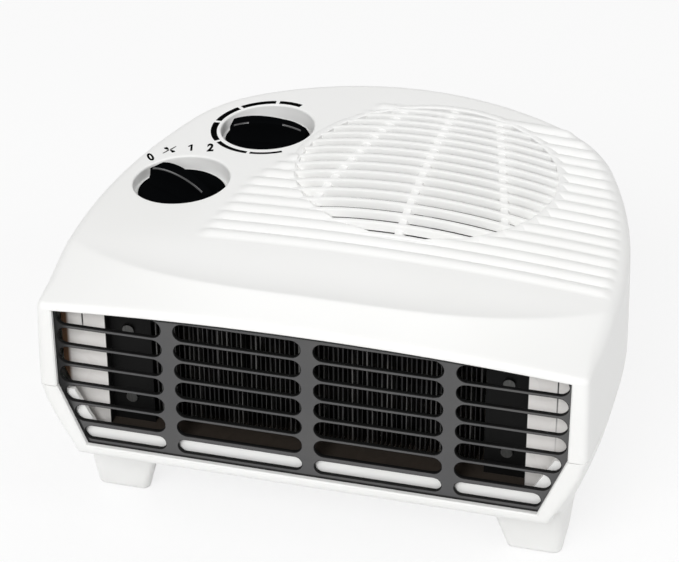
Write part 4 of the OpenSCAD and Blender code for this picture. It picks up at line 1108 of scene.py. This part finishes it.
def sign_form(text, size, weight):
    """A generic numeral as a flat form round its own middle."""
    data = bpy.data.curves.new("sign", "FONT")
    data.body = text
    data.size = size
    data.offset = weight
    data.align_x = "CENTER"
    data.align_y = "CENTER"
    data.resolution_u = 6
    made = bpy.data.objects.new("sign", data)
    bpy.context.scene.collection.objects.link(made)
    bpy.context.view_layer.update()
    mesh = bpy.data.meshes.new_from_object(made.evaluated_get(bpy.context.evaluated_depsgraph_get()))
    bpy.data.objects.remove(made)
    form = bmesh.new()
    form.from_mesh(mesh)
    return form


def stroke(points, widths):
    """A flat strip along a run of points, as wide as given at each."""
    form = bmesh.new()
    last = len(points) - 1
    bmesh.ops.create_grid(form, x_segments=last, y_segments=1, size=1)
    for vert in form.verts:
        k = round((vert.co.x + 1) / 2 * last)
        way = (Vector(points[min(last, k + 1)]) - Vector(points[max(0, k - 1)])).normalized()
        off = vert.co.y * widths[k] / 2
        vert.co = Vector((points[k][0] - way.y * off, points[k][1] + way.x * off, 0))
    return form


def one_form():
    stem = stroke([(0.3, -3.1), (0.3, 3.2)], [1.0, 1.0])
    return merged(stem, stroke([(0.5, 2.9), (-1.3, 1.3)], [1.1, 0.9]))


def fan_form():
    """Four blades round a gap: on each side a thin curved one and a short broad one."""
    form = bmesh.new()
    for side in (1, -1):
        thin = [(0.35, 0.2), (1.2, 1.1), (2.1, 2.2), (3.0, 3.1)]
        broad = [(0.4, -0.3), (1.1, -1.0), (1.8, -1.9), (2.3, -2.8)]
        for points, widths in ((thin, [0.9, 0.8, 0.7, 0.5]), (broad, [0.7, 1.2, 1.9, 1.6])):
            form = merged(form, stroke([(side * x, side * y) for x, y in points], widths))
    return form


SIGNS = ((sign_form("0", 7.0, 0.3), 138.5, 28.9, 33, 0.8, 1.45), (fan_form(), 118.5, 31.1, 14, 1.0, 1.0),
         (one_form(), 99.5, 30.9, 15, 1.0, 1.0), (sign_form("2", 7.6, 0.35), 82.0, 31.7, 14, 0.8, 1.35))
for form, place_turn, place_r, sign_turn, wide, tall in SIGNS:
    a = math.radians(place_turn)
    b = math.radians(sign_turn)
    bmesh.ops.scale(form, vec=(wide, tall, 1.0), verts=form.verts)
    for vert in form.verts:
        x = SWITCH.x + place_r * math.cos(a) + vert.co.x * math.cos(b) - vert.co.y * math.sin(b)
        y = SWITCH.y + place_r * math.sin(a) + vert.co.x * math.sin(b) + vert.co.y * math.cos(b)
        vert.co = on_top(x, y)
    ink_form = merged(ink_form, form)
for face in ink_form.faces:
    if face.normal.z < 0:
        face.normal_flip()
ink = Finish("black_ink", roughness=0.9, specular=0.0, colour=(0.003, 0.003, 0.003))
worn = ink.noise(600.0, 3.0).smooth_step(0.35, 0.8)
ink.feed("Base Color", ink.blend(worn, (0.002, 0.002, 0.002), (0.006, 0.006, 0.006)))
scales = finished("printed_scales", ink_form, ink.material)
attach(scales, "housing")


# The heating element: thin upright fins pressed on flat bars, black from the oven, a little uneven as
# assembled, with lighter grey streaks painted on as highlights. They stand between black holders at both
# ends.
FIN_PITCH = 2.2
FIN_T = 0.5
FIN_D = 8.0
FIN_H = 54.0
FIN_FRONT = FRONT + 18
FIN_Z = 52.8
FIN_HALF = 74.8
FIN_LEAN = 0.35
FIN_BEND = 0.25
fin_count = math.floor((2 * FIN_HALF - FIN_T) / FIN_PITCH)
uneven = random.Random(5)
fins_form = bmesh.new()
for k in range(fin_count + 1):
    fin = bmesh.new()
    bmesh.ops.create_cube(fin, size=1)
    bmesh.ops.scale(fin, vec=(FIN_T, FIN_D, FIN_H), verts=fin.verts)
    lean_out = uneven.uniform(-FIN_LEAN, FIN_LEAN)
    for vert in fin.verts:
        bend = FIN_BEND * uneven.uniform(-1, 1) if vert.co.y < 0 else 0
        vert.co.x += lean_out * vert.co.z / FIN_H + bend
    middle = Vector(((k - fin_count / 2) * FIN_PITCH, FIN_FRONT + FIN_D / 2, FIN_Z + FIN_H / 2))
    bmesh.ops.translate(fin, vec=middle, verts=fin.verts)
    fins_form = merged(fins_form, fin)
element = Finish("oven_black", roughness=0.45, metallic=0.3, specular=0.4, colour=(0.02, 0.02, 0.02))
streak = element.noise(1.0, 4.0, element.stretched(450.0, 60.0, 25.0))
# Painted highlights: lighter grey streaks up the fins, where their roughness also drops.
painted_highlight_streaks = streak.smooth_step(0.45, 0.7)
element.feed("Base Color", element.blend(painted_highlight_streaks, (0.006, 0.006, 0.006), (0.09, 0.088, 0.085)))
element.feed("Roughness", 0.5 - streak * 0.25)
heating_fins = finished("heating_fins_pack", fins_form, element.material, sharp=20)
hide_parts("heating_fins")
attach(heating_fins, "housing")


# The pieces that keep their machined shape: sheet metal, screws, the motor, the switch and the
# thermostat. Each gets the finish of its real material.
def sheet_metal(name, light, dark, roughness):
    """Zinc-coated sheet with its faint crystal pattern."""
    finish = Finish(name, roughness=roughness, metallic=0.35, specular=0.4, colour=light)
    spangle = finish.node("ShaderNodeTexVoronoi", output="Color",
                          values={"Vector": finish.place(), "Scale": 160.0})
    grain = finish.node("ShaderNodeSeparateXYZ", values={"Vector": spangle}, output="X")
    finish.feed("Base Color", finish.blend(grain * 0.35, light, dark))
    finish.feed("Roughness", roughness + grain * 0.12)
    return finish


def moulded(name, colour, other, roughness, grain=350.0, specular=0.4):
    finish = Finish(name, roughness=roughness, specular=specular, colour=colour)
    finish.feed("Base Color", finish.blend(finish.noise(30.0, 2.0).smooth_step(0.3, 0.7), colour, other))
    finish.feed("Roughness", roughness - 0.05 + finish.noise(grain, 2.0) * 0.1)
    finish.bump(finish.noise(grain * 4, 2.0), 0.00002, 0.4)
    return finish


def machined(name, colour, other, roughness, stretch):
    """Metal with fine tool or rolling marks along one way."""
    finish = Finish(name, roughness=roughness, metallic=1.0, specular=0.5, colour=colour)
    marks = finish.noise(1.0, 4.0, finish.stretched(*stretch))
    finish.feed("Base Color", finish.blend(marks, colour, other))
    finish.feed("Roughness", roughness - 0.08 + marks * 0.2)
    finish.bump(marks, 0.00001, 0.3)
    return finish


def fold_line(way, start, end, edge=0.0002):
    """1 between start and end, with a soft edge at both."""
    return way.smooth_step(start, start + edge) * way.smooth_step(end, end - edge)


# The left side plate is tinted by heat at its outer end, each side plate has a thin dark line painted
# as shade where it is folded, and the sheets are near black inside the duct. Places are in metres.
plates = sheet_metal("galvanised_sheet", (0.80, 0.78, 0.76), (0.70, 0.68, 0.66), 0.5)
rightward = plates.axis("X")
leftward = rightward * -1.0
sheet_height = plates.axis("Z")
plain_colour = Socket(plates, plates.shader.inputs["Base Color"].links[0].from_socket)
tinted = plates.blend(leftward.smooth_step(0.1118, 0.1138), plain_colour, (0.14, 0.07, 0.035))
# Painted shade: a thin dark line on each side plate along its fold.
left_fold_shade = fold_line(leftward, 0.1052, 0.1061) * sheet_height.smooth_step(0.096, 0.103)
right_fold_shade = fold_line(rightward, 0.1074, 0.1082) * sheet_height.smooth_step(0.060, 0.110)
fold_shaded = plates.blend(left_fold_shade + right_fold_shade, tinted, (0.01, 0.01, 0.01))
# The sheets are near black inside the duct's width.
from_middle = plates.node("ShaderNodeMath", {"operation": "ABSOLUTE"}, {0: rightward})
past_duct = from_middle.smooth_step(0.0951, 0.0954)
plates.feed("Base Color", plates.blend(past_duct, (0.008, 0.008, 0.008), fold_shaded))
browned = sheet_metal("browned_sheet", (0.075, 0.060, 0.048), (0.045, 0.036, 0.029), 0.4)
phenolic = moulded("black_phenolic", (0.003, 0.003, 0.003), (0.006, 0.006, 0.006), 0.5, 350.0, 0.12)
sooted = machined("sooted_steel", (0.05, 0.05, 0.05), (0.14, 0.14, 0.135), 0.3, (900.0, 900.0, 200.0))
steel = machined("zinc_steel", (0.62, 0.62, 0.63), (0.45, 0.45, 0.46), 0.3, (900.0, 900.0, 200.0))
brass = machined("stamped_brass", (0.75, 0.60, 0.32), (0.55, 0.42, 0.20), 0.32, (200.0, 900.0, 900.0))
bakelite = moulded("brown_phenolic", (0.05, 0.03, 0.02), (0.03, 0.02, 0.015), 0.3)
ceramic = moulded("glazed_ceramic", (0.72, 0.70, 0.64), (0.66, 0.64, 0.58), 0.35)
dark_plastic = moulded("dark_plastic", (0.022, 0.022, 0.024), (0.032, 0.032, 0.034), 0.45)
alloy = machined("cast_alloy", (0.60, 0.60, 0.61), (0.48, 0.48, 0.50), 0.45, (500.0, 500.0, 500.0))
bronze = machined("sintered_bronze", (0.50, 0.36, 0.18), (0.38, 0.27, 0.13), 0.45, (1500.0, 1500.0, 1500.0))
nylon = moulded("natural_nylon", (0.70, 0.66, 0.54), (0.64, 0.60, 0.48), 0.4)
acetal = moulded("white_acetal", (0.68, 0.68, 0.66), (0.62, 0.62, 0.60), 0.35)
rubber = moulded("moulded_rubber", (0.02, 0.02, 0.02), (0.03, 0.03, 0.03), 0.8, 600.0, 0.2)
bush_plastic = moulded("bush_nylon", (0.72, 0.72, 0.71), (0.66, 0.66, 0.65), 0.38)

SHEET_PITCH = 0.0005
WIRE_PITCH = 0.0006
laminated = Finish("stacked_steel", roughness=0.45, metallic=0.9, colour=(0.25, 0.25, 0.26))
layer = (laminated.axis("Z") * (2 * math.pi / SHEET_PITCH)).sine() * 0.5 + 0.5
laminated.feed("Base Color", laminated.blend(layer, (0.16, 0.15, 0.15), (0.34, 0.34, 0.35)))
laminated.feed("Roughness", 0.4 + laminated.noise(200.0) * 0.2)
laminated.bump(layer, 0.00006, 0.6)

copper = Finish("enamelled_copper", roughness=0.3, metallic=0.7, colour=(0.50, 0.20, 0.08))
turns = (copper.axis("X") * (2 * math.pi / WIRE_PITCH)).sine() * 0.5 + 0.5
copper.feed("Base Color", copper.blend(turns, (0.22, 0.08, 0.03), (0.62, 0.27, 0.11)))
copper.feed("Roughness", 0.25 + copper.noise(300.0) * 0.15)
copper.bump(turns, 0.0001, 0.7)

FINISHES = {
    plates: ["left_side_plate", "right_side_plate", "duct_roof", "motor_bracket"],
    browned: ["duct_floor"],
    phenolic: ["left_element_holder", "right_element_holder"],
    element: ["heating_bars"],
    brass: ["element_terminals", "switch_tabs", "thermostat_blades"],
    sooted: ["element_screws"],
    steel: ["case_screws", "scroll_screws", "motor_bracket_screws", "bridge_screws",
            "motor_shaft", "fan_clip", "switch_screws", "thermostat_nut"],
    bakelite: ["thermal_cutout"],
    ceramic: ["thermal_fuse", "thermostat_base"],
    dark_plastic: ["fan_scroll", "fan_wheel", "rotary_switch"],
    alloy: ["lower_bearing_bridge", "upper_bearing_bridge", "motor_rotor"],
    bronze: ["motor_bearings"],
    laminated: ["motor_laminations"],
    nylon: ["coil_bobbin", "terminal_block"],
    copper: ["motor_coil"],
    acetal: ["switch_spindle", "thermostat_spindle"],
    rubber: ["rubber_pads"],
    bush_plastic: ["cord_bush"],
}
for finish, names in FINISHES.items():
    for name in names:
        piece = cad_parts[name]
        piece.data.materials.clear()
        piece.data.materials.append(finish.material)
